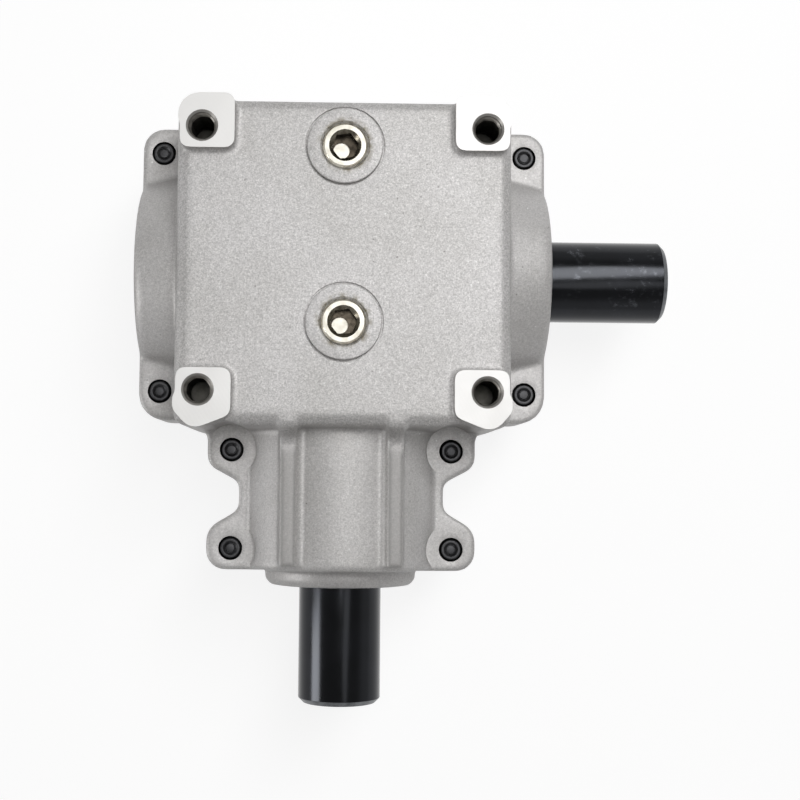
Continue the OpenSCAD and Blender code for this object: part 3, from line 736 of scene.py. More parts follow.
def turned(name: str, profile: Sequence[Point], way: Way, segments: int = 128, x: float = 0.0,
           y: float = 0.0, shape: Optional[Shape] = None) -> bpy.types.Object:
    """A closed turned piece.

    Args:
        name: Name of the object.
        profile: Closed outline as radius and station along the axis.
        way: Direction of the axis.
        segments: Segments round the axis.
        x: Place of an upright axis along X.
        y: Place of an upright axis along Y.
        shape: Gives a point's radius from its radius, angle and station.

    Returns:
        The object, with faces pointing outwards.
    """
    mesh = bpy.data.meshes.new(name)
    work = bmesh.new()
    rings = []
    for radius, station in profile:
        if radius < ON_AXIS:
            rings.append([work.verts.new((0, 0, station))])
            continue
        ring = []
        for k in range(segments):
            angle = 2 * math.pi * k / segments
            r = shape(radius, angle, station) if shape else radius
            ring.append(work.verts.new((r * math.cos(angle), r * math.sin(angle), station)))
        rings.append(ring)
    for a, b in zip(rings, rings[1:] + rings[:1]):
        if len(a) == 1 and len(b) == 1:
            continue
        for k in range(segments):
            n = (k + 1) % segments
            corners = [a[k % len(a)], a[n % len(a)], b[n % len(b)], b[k % len(b)]]
            unique = list(dict.fromkeys(corners))
            if len(unique) > 2:
                work.faces.new(unique)
    bmesh.ops.recalc_face_normals(work, faces=work.faces)
    work.transform(placed(way, x, y))
    work.to_mesh(mesh)
    work.free()
    return shown(name, mesh)


def rod(name: str, r: float, start: float, stop: float, way: Way, segments: int = 96,
        x: float = 0.0, y: float = 0.0) -> bpy.types.Object:
    """A plain cylinder between two stations."""
    return turned(name, [(0, start), (r, start), (r, stop), (0, stop)], way, segments, x, y)


def prism(name: str, outline: Sequence[Point], floor: float, top: float) -> bpy.types.Object:
    """An upright prism over an outline, between two heights.

    Args:
        name: Name of the object.
        outline: Corners in plan.
        floor: Lowest height.
        top: Highest height.

    Returns:
        The object, with faces pointing outwards.
    """
    mesh = bpy.data.meshes.new(name)
    work = bmesh.new()
    foot = work.faces.new([work.verts.new((x, y, floor)) for x, y in outline])
    grown = bmesh.ops.extrude_face_region(work, geom=[foot])
    for item in grown["geom"]:
        if isinstance(item, bmesh.types.BMVert):
            item.co.z = top
    bmesh.ops.recalc_face_normals(work, faces=work.faces)
    work.to_mesh(mesh)
    work.free()
    return shown(name, mesh)


def slab(name: str, x: Point, y: Point, z: Point) -> bpy.types.Object:
    """A box between two corners, given as low and high values."""
    return prism(name, [(x[0], y[0]), (x[1], y[0]), (x[1], y[1]), (x[0], y[1])], z[0], z[1])


def combined(target: bpy.types.Object, tools: Sequence[bpy.types.Object],
             how: str = "DIFFERENCE") -> bpy.types.Object:
    """Joins or cuts a closed mesh with others, which are deleted.

    Args:
        target: Object that is changed.
        tools: Closed objects to apply in turn.
        how: "UNION" or "DIFFERENCE".

    Returns:
        The changed target.
    """
    for tool in tools:
        modifier = target.modifiers.new("cut", "BOOLEAN")
        modifier.operation = how
        modifier.solver = "MANIFOLD"
        modifier.object = tool
    baked(target)
    for tool in tools:
        dropped(tool)
    return target


def merged_copy(name: str, source: str) -> bpy.types.Object:
    """A copy of a solid's mesh with its loose triangles joined.

    Args:
        name: Name of the copy.
        source: CAD node to copy.

    Returns:
        The copy, without finishes.
    """
    mesh = NODES[source].data.copy()
    work = bmesh.new()
    work.from_mesh(mesh)
    bmesh.ops.remove_doubles(work, verts=work.verts, dist=WELD)
    work.to_mesh(mesh)
    work.free()
    mesh.materials.clear()
    return shown(name, mesh)


def smooth(piece: bpy.types.Object, degrees: float = 34.0) -> None:
    """Shades a piece smooth, with sharp edges above that angle."""
    piece.data.polygons.foreach_set("use_smooth", [True] * len(piece.data.polygons))
    piece.data.set_sharp_from_angle(angle=math.radians(degrees))


def fitted(piece: bpy.types.Object, look: Any, slot: Slot, *nodes: str) -> bpy.types.Object:
    """Gives a piece its finish and puts it in place of solids.

    Args:
        piece: Finished piece.
        look: Finish of the whole piece, or None if its materials are set.
        slot: Slot of the record. It is not used.
        *nodes: Solids that the piece stands for. It rides on the body of the first.

    Returns:
        The piece.
    """
    if look is not None:
        coat(piece, look)
    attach(piece, body_of(NODES[nodes[0]])[0])
    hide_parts(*nodes)
    LOG.info("%s: %d faces", piece.name, len(piece.data.polygons))
    return piece


def solid_centres(source: str) -> list[Vector]:
    """Centres of the separate solids in one node, in plan order.

    Args:
        source: CAD node that holds the solids.

    Returns:
        The centre of each solid's box.
    """
    work = bmesh.new()
    work.from_mesh(NODES[source].data)
    bmesh.ops.remove_doubles(work, verts=work.verts, dist=WELD)
    waiting, centres = set(work.verts), []
    while waiting:
        reached = [waiting.pop()]
        for vert in reached:
            for edge in vert.link_edges:
                other = edge.other_vert(vert)
                if other in waiting:
                    waiting.remove(other)
                    reached.append(other)
        lows = [min(v.co[i] for v in reached) for i in range(3)]
        highs = [max(v.co[i] for v in reached) for i in range(3)]
        centres.append(Vector([(a + b) / 2 for a, b in zip(lows, highs)]))
    work.free()
    return sorted(centres, key=lambda c: (round(c.x, 4), round(c.y, 4)))


def thread_shape(pitch: float, depth: float, start: float, stop: float) -> Shape:
    """A right-hand thread cut into a turned surface.

    Args:
        pitch: Distance from crest to crest.
        depth: Depth of the groove.
        start: Station where the thread starts.
        stop: Station where it stops.

    Returns:
        A function of radius, angle and station for turned().
    """
    def shape(radius: float, angle: float, station: float) -> float:
        """Radius at one point of the thread.

        Args:
            radius: Radius without the thread.
            angle: Angle round the axis.
            station: Place along the axis.

        Returns:
            Radius with the thread.
        """
        if not start <= station <= stop:
            return radius
        phase = (station / pitch - angle / (2 * math.pi)) % 1.0
        groove = 1 - abs(2 * phase - 1)
        fade = min(1.0, (station - start) / pitch, (stop - station) / pitch)
        return radius - depth * groove * fade
    return shape


@dataclass
class Castings:
    """The two halves of the housing: soft cast skin, with crisp machined faces cut into it."""

    voxel: float = 0.62 * MM
    skin_rounds: int = 7
    triangles: int = 165_000
    spare: float = 1.2 * MM
    wall: float = 5 * MM
    fit: float = 0.02 * MM
    lip: float = 1.4 * MM
    shoulder: float = 3.4 * MM
    cavity_corner: float = 12 * MM
    # Room behind each bearing, and the chamfer at the mouth of each bore
    behind: float = 0.5 * MM
    mouth: float = 0.5 * MM
    upper_flange: float = 12.8 * MM
    lower_flange: float = 12 * MM
    screw_r: float = 3.62 * MM
    pocket_r: float = 7.7 * MM
    head_pocket_r: float = 7.2 * MM
    boss_r: float = 11.05 * MM
    boss_h: float = 1 * MM
    # The mould leaves a sharp line round the foot of each boss
    groove_w: float = 0.6 * MM
    groove_l: float = 0.95 * MM
    plug_r: float = 6.6 * MM
    pad_hole_l: float = 20 * MM
    thread_r: float = 4 * MM
    thread_pitch: float = 1.25 * MM
    countersink_r: float = 4.65 * MM
    countersink_l: float = 0.65 * MM
    # Depth below the countersink over which the threads keep the tapped finish; deeper walls get painted
    # shade
    pale_thread_l: float = 3.2 * MM
    dowel_r: float = 2.5 * MM
    dowel_l: float = 14 * MM
    # Chamfer along the outer edge of the joint between the halves
    joint_chamfer: float = 0.4 * MM
    screws: list[Vector] = field(default_factory=lambda: solid_centres("housing_screws"))
    dowels: list[Vector] = field(default_factory=lambda: solid_centres("locating_dowels"))
    plugs: list[Vector] = field(default_factory=lambda: [sum(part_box(n), Vector()) / 2
                                                         for n in ("fill_plug", "level_plug")])

    def cavity_outline(self, grow: float = 0.0) -> list[Point]:
        """Outline of the gear cavity in plan.

        Args:
            grow: Distance by which the outline is moved outwards.

        Returns:
            Its points in plan.
        """
        x = SIZE.out_bearing - self.behind - self.lip + grow
        back = high("lower_housing", 1) - 0.7 * MM - self.wall + grow
        front = -(SIZE.in_rear - self.behind - self.lip) - grow
        r = self.cavity_corner
        return rounded([(x, back, r), (-x, back, r), (-x, front, r), (x, front, r)], 10)

    def skin(self, name: str, upper: bool) -> bpy.types.Object:
        """The cast skin of one half, with its bores filled and its machined faces left proud.

        Args:
            name: Name of the object.
            upper: Whether it is the upper half.

        Returns:
            The remeshed and softened object.
        """
        side = 1.0 if upper else -1.0
        piece = merged_copy(name, name)
        work = bmesh.new()
        work.from_mesh(piece.data)
        for height, normal, shift in ((SIZE.plane, -side, -side * self.spare), (0.0, 1.0, self.spare)):
            flat = [f for f in work.faces if abs(f.normal.z - normal) < 0.01
                    and all(abs(v.co.z - height) < TOUCH for v in f.verts)]
            if flat:
                grown = bmesh.ops.extrude_face_region(work, geom=flat)
                moved = [g for g in grown["geom"] if isinstance(g, bmesh.types.BMVert)]
                bmesh.ops.translate(work, verts=moved, vec=(0, 0, shift))
                bmesh.ops.delete(work, geom=flat, context="FACES_ONLY")
        if upper:
            for v in work.verts:
                near = any(math.hypot(v.co.x - p.x, v.co.y - p.y) < self.boss_r + MM for p in self.plugs)
                if near and SIZE.body_top < v.co.z < SIZE.body_top + self.boss_h + 0.1 * MM:
                    v.co.z = SIZE.body_top
        work.to_mesh(piece.data)
        work.free()
        fills = [prism("fill", self.cavity_outline(0.4 * MM), *sorted((SIZE.plane - side * self.spare,
                       SIZE.body_top - self.wall + 0.4 * MM if upper else SIZE.base + self.wall - 0.4 * MM)))]
        bore_r = SIZE.bearing_r + 0.5 * MM
        fills.append(rod("fill", bore_r, -SIZE.barrel_end, SIZE.barrel_end, Way.OUTPUT))
        fills.append(rod("fill", bore_r, 0, SIZE.in_seal - 0.4 * MM, Way.INPUT))
        fills.append(rod("fill", SIZE.in_seal_r + 0.5 * MM, 0, SIZE.collar_end, Way.INPUT))
        top = SIZE.plane + self.upper_flange - 0.3 * MM if upper else SIZE.plane + self.spare
        low_z = SIZE.plane - self.spare if upper else SIZE.plane - self.lower_flange + 0.3 * MM
        fills += [rod("fill", self.screw_r + 0.6 * MM, low_z, top, Way.UP, 24, p.x, p.y) for p in self.screws]
        ends = sorted((SIZE.plane - side * self.spare, SIZE.plane + side * (self.dowel_l + 0.5 * MM)))
        fills += [rod("fill", self.dowel_r + 0.5 * MM, *ends, Way.UP, 24, p.x, p.y) for p in self.dowels]
        if upper:
            fills += [rod("fill", self.plug_r + 0.8 * MM, SIZE.body_top - self.wall, SIZE.body_top,
                          Way.UP, 32, p.x, p.y) for p in self.plugs]
            fills += [rod("fill", self.countersink_r + 0.3 * MM, -self.pad_hole_l - MM, self.spare, Way.UP,
                          32, x, y) for x, y in SIZE.pads]
        join_meshes(piece, fills)
        remesh = piece.modifiers.new("skin", "REMESH")
        remesh.mode = "VOXEL"
        remesh.voxel_size = self.voxel
        soften = piece.modifiers.new("soften", "SMOOTH")
        soften.factor = 0.5
        soften.iterations = self.skin_rounds
        baked(piece)
        count = sum(len(p.vertices) - 2 for p in piece.data.polygons)
        thin = piece.modifiers.new("thin", "DECIMATE")
        thin.ratio = min(1.0, self.triangles / count)
        baked(piece)
        LOG.info("%s skin: %d triangles before thinning", name, count)
        return piece

    def bores(self) -> list[bpy.types.Object]:
        """Cutters of the bearing, seal and shaft bores.

        Returns:
            One cutter for each of the three bores.
        """
        shoulder = SIZE.bearing_r - self.shoulder
        seat, wide = SIZE.bearing_r + self.fit, SIZE.bearing_r + self.mouth
        deep, end, land = SIZE.out_bearing - self.behind, SIZE.barrel_end, SIZE.out_seal
        back = SIZE.out_bearing + SIZE.bearing_w
        out_half = [(0, 0), (shoulder, 0), (shoulder, deep), (seat, deep), (seat, back), (shoulder, back),
                    (shoulder, land), (seat, land), (seat, end - self.mouth), (wide, end), (wide, end + MM),
                    (0, end + MM)]
        seal_r, collar = SIZE.in_seal_r, SIZE.collar_end
        seal_seat, seal_stop = seal_r + self.fit, seal_r - 1.5 * MM
        deep, rear = SIZE.in_rear - self.behind, SIZE.in_rear + SIZE.bearing_w
        front = SIZE.in_front + SIZE.bearing_w
        into = [(0, 0), (shoulder, 0), (shoulder, deep), (seat, deep), (seat, rear), (shoulder, rear),
                (shoulder, SIZE.in_front), (seat, SIZE.in_front), (seat, front), (seal_stop, front),
                (seal_stop, SIZE.in_seal), (seal_seat, SIZE.in_seal), (seal_seat, collar - self.mouth),
                (seal_r + self.mouth, collar), (seal_r + self.mouth, collar + MM), (0, collar + MM)]
        return [turned("cutter", out_half, Way.OUTPUT), turned("cutter", out_half, Way.BLIND),
                turned("cutter", into, Way.INPUT)]

    def machined(self, upper: bool) -> list[bpy.types.Object]:
        """Cutters of the machined faces of one half.

        Args:
            upper: Whether it is the upper half.

        Returns:
            The cutters.
        """
        far = 200 * MM
        side = 1.0 if upper else -1.0
        away = slab("cutter", (-far, far), (-far, far), (SIZE.plane - far, SIZE.plane) if upper
                    else (SIZE.plane, SIZE.plane + far))
        roof = (SIZE.plane, SIZE.body_top - self.wall) if upper else (SIZE.base + self.wall, SIZE.plane)
        overlap = 2 * MM
        cavity = prism("cutter", self.cavity_outline(), roof[0] - (overlap if upper else 0),
                       roof[1] + (0 if upper else overlap))
        cutters = [away, cavity, *self.bores()]
        for p in self.dowels:
            cutters.append(rod("cutter", self.dowel_r + self.fit, SIZE.plane - self.dowel_l,
                               SIZE.plane + self.dowel_l, Way.UP, 48, p.x, p.y))
        flange = self.upper_flange if upper else self.lower_flange
        face = SIZE.plane + side * flange
        for p in self.screws:
            hole = self.screw_r + (0.02 if upper else 0.4) * MM
            steps = [(0.0, SIZE.plane - side * MM), (hole, SIZE.plane - side * MM), (hole, face)]
            neck = p.y < -SIZE.pad_y / 2
            if upper:
                reach = self.pocket_r if neck else hole
                steps += [(reach, face), (reach, face + 12 * MM), (0.0, face + 12 * MM)]
            else:
                below = face - 30 * MM
                steps += [(self.head_pocket_r, face), (self.head_pocket_r, below), (0.0, below)]
            cutters.append(turned("cutter", steps, Way.UP, 64, p.x, p.y))
        if upper:
            cutters.append(slab("cutter", (-far, far), (-far, far), (0.0, 10 * MM)))
            top = SIZE.body_top + self.boss_h
            foot = SIZE.body_top - self.groove_l
            for p in self.plugs:
                outer, over = self.boss_r + self.groove_w, SIZE.body_top + 0.3 * MM
                groove = [(self.boss_r, foot), (outer, foot), (outer, over), (self.boss_r, over)]
                cutters.append(turned("cutter", groove, Way.UP, 128, p.x, p.y))
                cutters.append(turned("cutter", [(0, top - 12 * MM), (self.plug_r, top - 12 * MM),
                                                 (self.plug_r, top - 0.7 * MM), (self.plug_r + 0.7 * MM, top),
                                                 (self.plug_r + 0.7 * MM, top + MM), (0, top + MM)],
                                      Way.UP, 96, p.x, p.y))
            rings = int(self.pad_hole_l / self.thread_pitch * 8)
            depths = [-self.pad_hole_l * k / rings for k in range(rings, -1, -1)]
            lean = self.countersink_r - SIZE.pad_drill_r
            wall = [(max(self.thread_r, self.countersink_r + d) if d > -lean else self.thread_r, d)
                    for d in depths]
            cut = thread_shape(self.thread_pitch, self.thread_r - SIZE.pad_drill_r,
                               -self.pad_hole_l + 2 * MM, -0.5 * MM)
            for x, y in SIZE.pads:
                cutters.append(turned("cutter", [(0, depths[0]), *wall, (self.countersink_r, MM), (0, MM)],
                                      Way.UP, 48, x, y, cut))
        return cutters

    def chamfer_joint(self, piece: bpy.types.Object, upper: bool) -> None:
        """Breaks the outer edge of a half where it meets the other one, so that the joint shows as a line.

        Args:
            piece: The half.
            upper: Whether it is the upper half.
        """
        side = 1.0 if upper else -1.0
        work = bmesh.new()
        work.from_mesh(piece.data)
        bmesh.ops.bisect_plane(work, geom=[*work.verts, *work.edges, *work.faces],
                               plane_co=(0, 0, SIZE.plane + side * self.joint_chamfer), plane_no=(0, 0, 1))
        hits = BVHTree.FromBMesh(work)
        moves = []
        for v in work.verts:
            if abs(v.co.z - SIZE.plane) > 1e-6:
                continue
            out = sum((f.normal for f in v.link_faces if abs(f.normal.z) < 0.7), Vector())
            out.z = 0
            if out.length > 0.1:
                out.normalize()
                beside = v.co + out * MM + Vector((0, 0, side * 0.1 * MM))
                # Only an outer wall has nothing over the spot beside it
                if hits.ray_cast(beside, Vector((0, 0, side)))[0] is None:
                    moves.append((v, out))
        for v, out in moves:
            v.co -= out * self.joint_chamfer
        work.to_mesh(piece.data)
        work.free()
        LOG.info("%s: %d points of the joint edge chamfered", piece.name, len(moves))

    def half(self, name: str, upper: bool) -> None:
        """Builds one half of the housing.

        Args:
            name: CAD node that it stands for.
            upper: Whether it is the upper half.
        """
        piece = self.skin(name, upper)
        piece.name = name + "_casting"
        if upper:
            bevel = 0.35 * MM
            discs = [turned("boss", rounded([(0, SIZE.body_top - MM, 0), (self.boss_r, SIZE.body_top - MM, 0),
                                             (self.boss_r, SIZE.body_top + self.boss_h, bevel),
                                             (0, SIZE.body_top + self.boss_h, 0)], 4), Way.UP, 128, p.x, p.y)
                     for p in self.plugs]
            combined(piece, discs, "UNION")
        combined(piece, self.machined(upper))
        self.chamfer_joint(piece, upper)
        coat(piece, CAST, MILLED, TAPPED, COUNTERSINK, PAINTED_SHADE_THREAD)
        milled, tapped, countersink, deep = range(1, 5)
        # Threads deeper than this get the painted shade
        pale = -self.countersink_l - self.pale_thread_l
        for face in piece.data.polygons:
            spot = face.center
            flat = abs(abs(face.normal.z) - 1) < 1e-4
            if flat and (abs(spot.z) < TOUCH or abs(spot.z - SIZE.plane) < TOUCH):
                face.material_index = milled
            elif upper and spot.z > -self.pad_hole_l - MM and any(
                    math.hypot(spot.x - x, spot.y - y) < self.countersink_r for x, y in SIZE.pads):
                if spot.z > -self.countersink_l:
                    face.material_index = countersink
                else:
                    face.material_index = tapped if spot.z > pale else deep
            # The walls of the screw holes get the same painted shade
            elif upper and abs(face.normal.z) < FACING and any(
                    math.hypot(spot.x - p.x, spot.y - p.y) < self.screw_r + 0.2 * MM for p in self.screws):
                face.material_index = deep
        smooth(piece)
        fitted(piece, None, Slot.CAST, name)

    def build(self) -> None:
        """Builds both halves."""
        self.half("upper_housing", True)
        self.half("lower_housing", False)


def join_meshes(target: bpy.types.Object, others: Sequence[bpy.types.Object]) -> None:
    """Adds the meshes of other objects to a target, and deletes them.

    Args:
        target: Object that is added to.
        others: Objects to add and delete.
    """
    work = bmesh.new()
    work.from_mesh(target.data)
    for other in others:
        work.from_mesh(other.data)
        dropped(other)
    work.to_mesh(target.data)
    work.free()


@dataclass
class Shafts:
    """Both shafts: ground journals inside, keyed ends outside, centre-drilled at each end."""

    chamfer: float = 1.5 * MM
    key_depth: float = 3.2 * MM
    end_key_l: float = 28 * MM
    groove_depth: float = 0.7 * MM
    groove_w: float = 1.24 * MM
    centre_r: float = 3.2 * MM
    journal_past_seal: float = 0.1 * MM

    def blank(self, name: str, start: float, step: float, stop: float, grooves: Sequence[float],
              way: Way) -> bpy.types.Object:
        """A turned shaft blank.

        Args:
            name: Name of the object.
            start: Station of the inner end.
            step: Station where the journal steps down to the free end.
            stop: Station of the free end.
            grooves: Stations of the retaining-ring grooves.
            way: Direction of the free end.

        Returns:
            The blank.
        """
        soft = 0.25 * MM
        journal, free, deep = SIZE.journal_r, SIZE.shaft_r, SIZE.journal_r - self.groove_depth
        # Radius and depth of the centre drilled into each end
        drill = [(0.0, 5 * MM), (1.0 * MM, 3.4 * MM), (1.0 * MM, 2.2 * MM), (self.centre_r, 0.0)]
        path = [*[(r, start + depth, 0.0) for r, depth in drill], (journal - self.chamfer, start, soft),
                (journal, start + self.chamfer, soft)]
        for groove in sorted(grooves):
            path += [(journal, groove, 0.0), (deep, groove, 0.0), (deep, groove + self.groove_w, 0.0),
                     (journal, groove + self.groove_w, 0.0)]
        path += [(journal, step, 0.05 * MM), (free, step, 0.0), (free, stop - self.chamfer, soft),
                 (free - self.chamfer, stop, soft), *[(r, stop - depth, 0.0) for r, depth in reversed(drill)]]
        return turned(name, rounded(path, 4, closed=False), way, 160)

    def keyway(self, way: Way, r: float, start: float, stop: float, round_start: bool) -> bpy.types.Object:
        """A keyway cutter on the underside of a shaft, with an end-milled end if asked.

        Args:
            way: Direction of the shaft's free end.
            r: Radius of the shaft there.
            start: Station where the keyway starts.
            stop: Station where it stops.
            round_start: Whether its start is round, as an end mill leaves it.

        Returns:
            The cutter.
        """
        half = SIZE.key_w / 2
        floor = SIZE.plane - r - MM
        top = SIZE.plane - r + self.key_depth
        if round_start:
            arc = [(start + half - half * math.cos(a), half * math.sin(a))
                   for a in [math.pi / 2 - math.pi * k / 16 for k in range(17)]]
            outline = [(stop, half), *arc, (stop, -half)]
        else:
            outline = [(stop, half), (start, half), (start, -half), (stop, -half)]
        along = [(u, v) if way is Way.OUTPUT else (v, -u) for u, v in outline]
        return prism("cutter", along, floor, top)

    def dress(self, piece: bpy.types.Object, look: GrainedFinish, axis: Vector, node_name: str) -> None:
        """Puts the oxide on a shaft, with a paler chamfer at its free end: partly rubbed oxide, partly a
        painted highlight.

        Args:
            piece: The shaft.
            look: Finish of all but the chamfer.
            axis: Direction of its free end.
            node_name: CAD node that the shaft stands for.
        """
        smooth(piece, 28)
        coat(piece, look, RUBBED_EDGE_AND_HIGHLIGHT)
        far = max(axis.dot(v.co) for v in piece.data.vertices)
        for face in piece.data.polygons:
            lean = axis.dot(face.normal)
            across = face.center - Vector((0, 0, SIZE.plane))
            across -= axis * axis.dot(across)
            rim = axis.dot(face.center) > far - 2 * self.chamfer and across.length > self.centre_r + MM
            face.material_index = 1 if rim and 0.1 < lean < FLAT else 0
        fitted(piece, None, Slot.BLACK, node_name)

    def build(self) -> None:
        """Builds both shafts."""
        groove = self.groove_w
        bearing_back = SIZE.out_bearing + SIZE.bearing_w
        output = self.blank("output_shaft_turned", -SIZE.output_blind,
                            SIZE.out_seal_end + self.journal_past_seal, SIZE.output_end,
                            [-bearing_back - groove, bearing_back], Way.OUTPUT)
        gear_low = low("output_gear_key", 0)
        combined(output, [
            self.keyway(Way.OUTPUT, SIZE.shaft_r, SIZE.output_end - self.end_key_l, SIZE.output_end + MM,
                        True),
            self.keyway(Way.OUTPUT, SIZE.journal_r, gear_low, high("output_gear_key", 0) + 1.5 * MM, False),
        ])
        self.dress(output, BLACK_SHAFT, Vector((1, 0, 0)), "output_shaft")
        into = self.blank("input_shaft_turned", SIZE.input_tail, SIZE.in_seal_end + self.journal_past_seal,
                          SIZE.input_end, [-high("input_pinion_ring", 1) - 0.02 * MM,
                                           SIZE.in_front + SIZE.bearing_w], Way.INPUT)
        combined(into, [
            self.keyway(Way.INPUT, SIZE.shaft_r, SIZE.input_end - self.end_key_l, SIZE.input_end + MM, True),
            self.keyway(Way.INPUT, SIZE.journal_r, -high("input_pinion_key", 1),
                        -low("input_pinion_key", 1) + 1.5 * MM, False),
        ])
        self.dress(into, CLEAN_SHAFT, Vector((0, -1, 0)), "input_shaft")


@dataclass
class Plugs:
    """Fill and level plugs: nickel-plated, with a hexagon socket and thread paste round the rim."""

    hex_w: float = 7 * MM
    hex_turn: float = 0.15
    socket_l: float = 4.2 * MM
    # The drilled foot of the hexagon, set off its centre where a highlight falls: its pale satin floor is a
    # painted highlight in the shaded socket
    drill_r: float = 2.35 * MM
    highlight_drill_at: Point = (-1.05 * MM, -0.75 * MM)
    drill_l: float = 0.4 * MM
    face_r: float = 6 * MM
    rim_r: float = 4.7 * MM
    pitch: float = 1.5 * MM
    thread_depth: float = 0.7 * MM

    def plug(self, source: str) -> None:
        """Builds one plug.

        Args:
            source: CAD node that it stands for.
        """
        lowest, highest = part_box(source)
        x, y = (lowest.x + highest.x) / 2, (lowest.y + highest.y) / 2
        r = (highest.x - lowest.x) / 2
        floor, top = lowest.z, highest.z
        rings = 40
        shank = [(r, floor + 0.8 * MM + (top - floor - 2.3 * MM) * k / rings) for k in range(rings + 1)]
        profile = [(0, floor), (r - 0.8 * MM, floor), *shank,
                   *rounded([(r, top - 1.5 * MM, 0), (r, top - 0.75 * MM, 0.2 * MM),
                             (self.face_r, top, 0.15 * MM), (0, top, 0)], 5, closed=False)[1:]]
        thread = thread_shape(self.pitch, self.thread_depth, floor + 0.8 * MM, top - 1.5 * MM)
        piece = turned(source + "_turned", profile, Way.UP, 96, x, y, thread)
        corner = self.hex_w / 2 / math.cos(math.pi / 6)
        hexagon = [(x + corner * math.cos(math.pi / 3 * k + self.hex_turn),
                    y + corner * math.sin(math.pi / 3 * k + self.hex_turn)) for k in range(6)]
        floor_z = top - self.socket_l
        foot = floor_z - self.drill_l
        drill_x, drill_y = x + self.highlight_drill_at[0], y + self.highlight_drill_at[1]
        combined(piece, [
            prism("cutter", hexagon, floor_z, top + MM),
            turned("cutter", [(0, top - 1.3 * MM), (self.hex_w / 2 - 0.1 * MM, top - 1.3 * MM),
                              (self.rim_r + 0.1 * MM, top + 0.1 * MM), (0, top + 0.1 * MM)],
                   Way.UP, 96, x, y),
            rod("cutter", self.drill_r, foot, floor_z + 0.5 * MM, Way.UP, 64, drill_x, drill_y),
        ])
        coat(piece, NICKEL, NICKEL_FACE, PAINTED_SHADE_SOCKET, PAINTED_SHADE_CONE)
        plated, satin, socket, cone = range(4)
        for face in piece.data.polygons:
            spot, turn = face.center, face.normal
            # The turned top face is satin; so is the drilled foot's floor, which is a painted highlight
            if abs(spot.z - top) < TOUCH or abs(spot.z - foot) < TOUCH and spot.z > lowest.z + MM:
                face.material_index = satin
            elif math.hypot(spot.x - x, spot.y - y) > self.rim_r or spot.z < foot:
                face.material_index = plated
            elif 0.3 < turn.z < FLAT:
                face.material_index = cone
            else:
                # One flat of the hexagon keeps the bright plate and catches the light; the other flats get
                # the painted shade
                face.material_index = plated if turn.x < -FACING else socket
        smooth(piece, 30)
        fitted(piece, None, Slot.PLATED, source)
        self.sealant(source + "_sealant", x, y, r, top - 0.3 * MM)

    def sealant(self, name: str, x: float, y: float, r: float, height: float) -> None:
        """A wiped ring of thread paste in the countersink round a plug.

        Args:
            name: Name of the ring.
            x: Place of the plug along X.
            y: Place of the plug along Y.
            r: Radius of the plug.
            height: Height of the paste's upper side.
        """
        def wavy(radius: float, angle: float, station: float) -> float:
            """Radius of the paste, with an uneven rim."""
            swell = 0.10 * math.sin(3 * angle + 40 * x + 1) + 0.07 * math.sin(7 * angle + 300 * y)
            return radius + swell * MM * (1.0 if radius > r + 0.1 * MM else 0.0)
        profile = rounded(offset(r, height, [(-0.25, -1.1, 0), (0.2, -0.9, 0), (0.25, -0.35, 0.1),
                                             (-0.1, -0.3, 0.1), (-0.45, -0.45, 0.1)]), 4)
        piece = turned(name, profile, Way.UP, 128, x, y, wavy)
        smooth(piece, 60)
        coat(piece, SEALANT)
        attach(piece, "housing")
        LOG.info("%s: %d faces", name, len(piece.data.polygons))

    def build(self) -> None:
        """Builds both plugs."""
        for source in ("fill_plug", "level_plug"):
            self.plug(source)


def geometry_tree(name: str, inputs: Sequence[tuple[str, str, Any]]) -> tuple[bpy.types.NodeTree, Any, Any]:
    """A Geometry Nodes tree with named inputs.

    Args:
        name: Name of the tree.
        inputs: Each input's name, socket type and default value or None.

    Returns:
        The tree, its group input node and its group output node.
    """
    tree = bpy.data.node_groups.new(name, "GeometryNodeTree")
    tree.is_modifier = True
    tree.interface.new_socket("Geometry", in_out="INPUT", socket_type="NodeSocketGeometry")
    tree.interface.new_socket("Geometry", in_out="OUTPUT", socket_type="NodeSocketGeometry")
    for label, kind, value in inputs:
        socket = tree.interface.new_socket(label, in_out="INPUT", socket_type=kind)
        if value is not None:
            socket.default_value = value
    return tree, tree.nodes.new("NodeGroupInput"), tree.nodes.new("NodeGroupOutput")


def run_tree(piece: bpy.types.Object, tree: bpy.types.NodeTree, values: dict[str, Any]) -> bpy.types.Object:
    """Runs a Geometry Nodes tree on an object and keeps the result as its mesh.

    Args:
        piece: Object to change.
        tree: Geometry Nodes tree.
        values: Value of each named input.

    Returns:
        The changed object.
    """
    modifier = piece.modifiers.new(tree.name, "NODES")
    modifier.node_group = tree
    for item in tree.interface.items_tree:
        if item.in_out == "INPUT" and item.name in values:
            modifier[item.identifier] = values[item.name]
    return baked(piece)


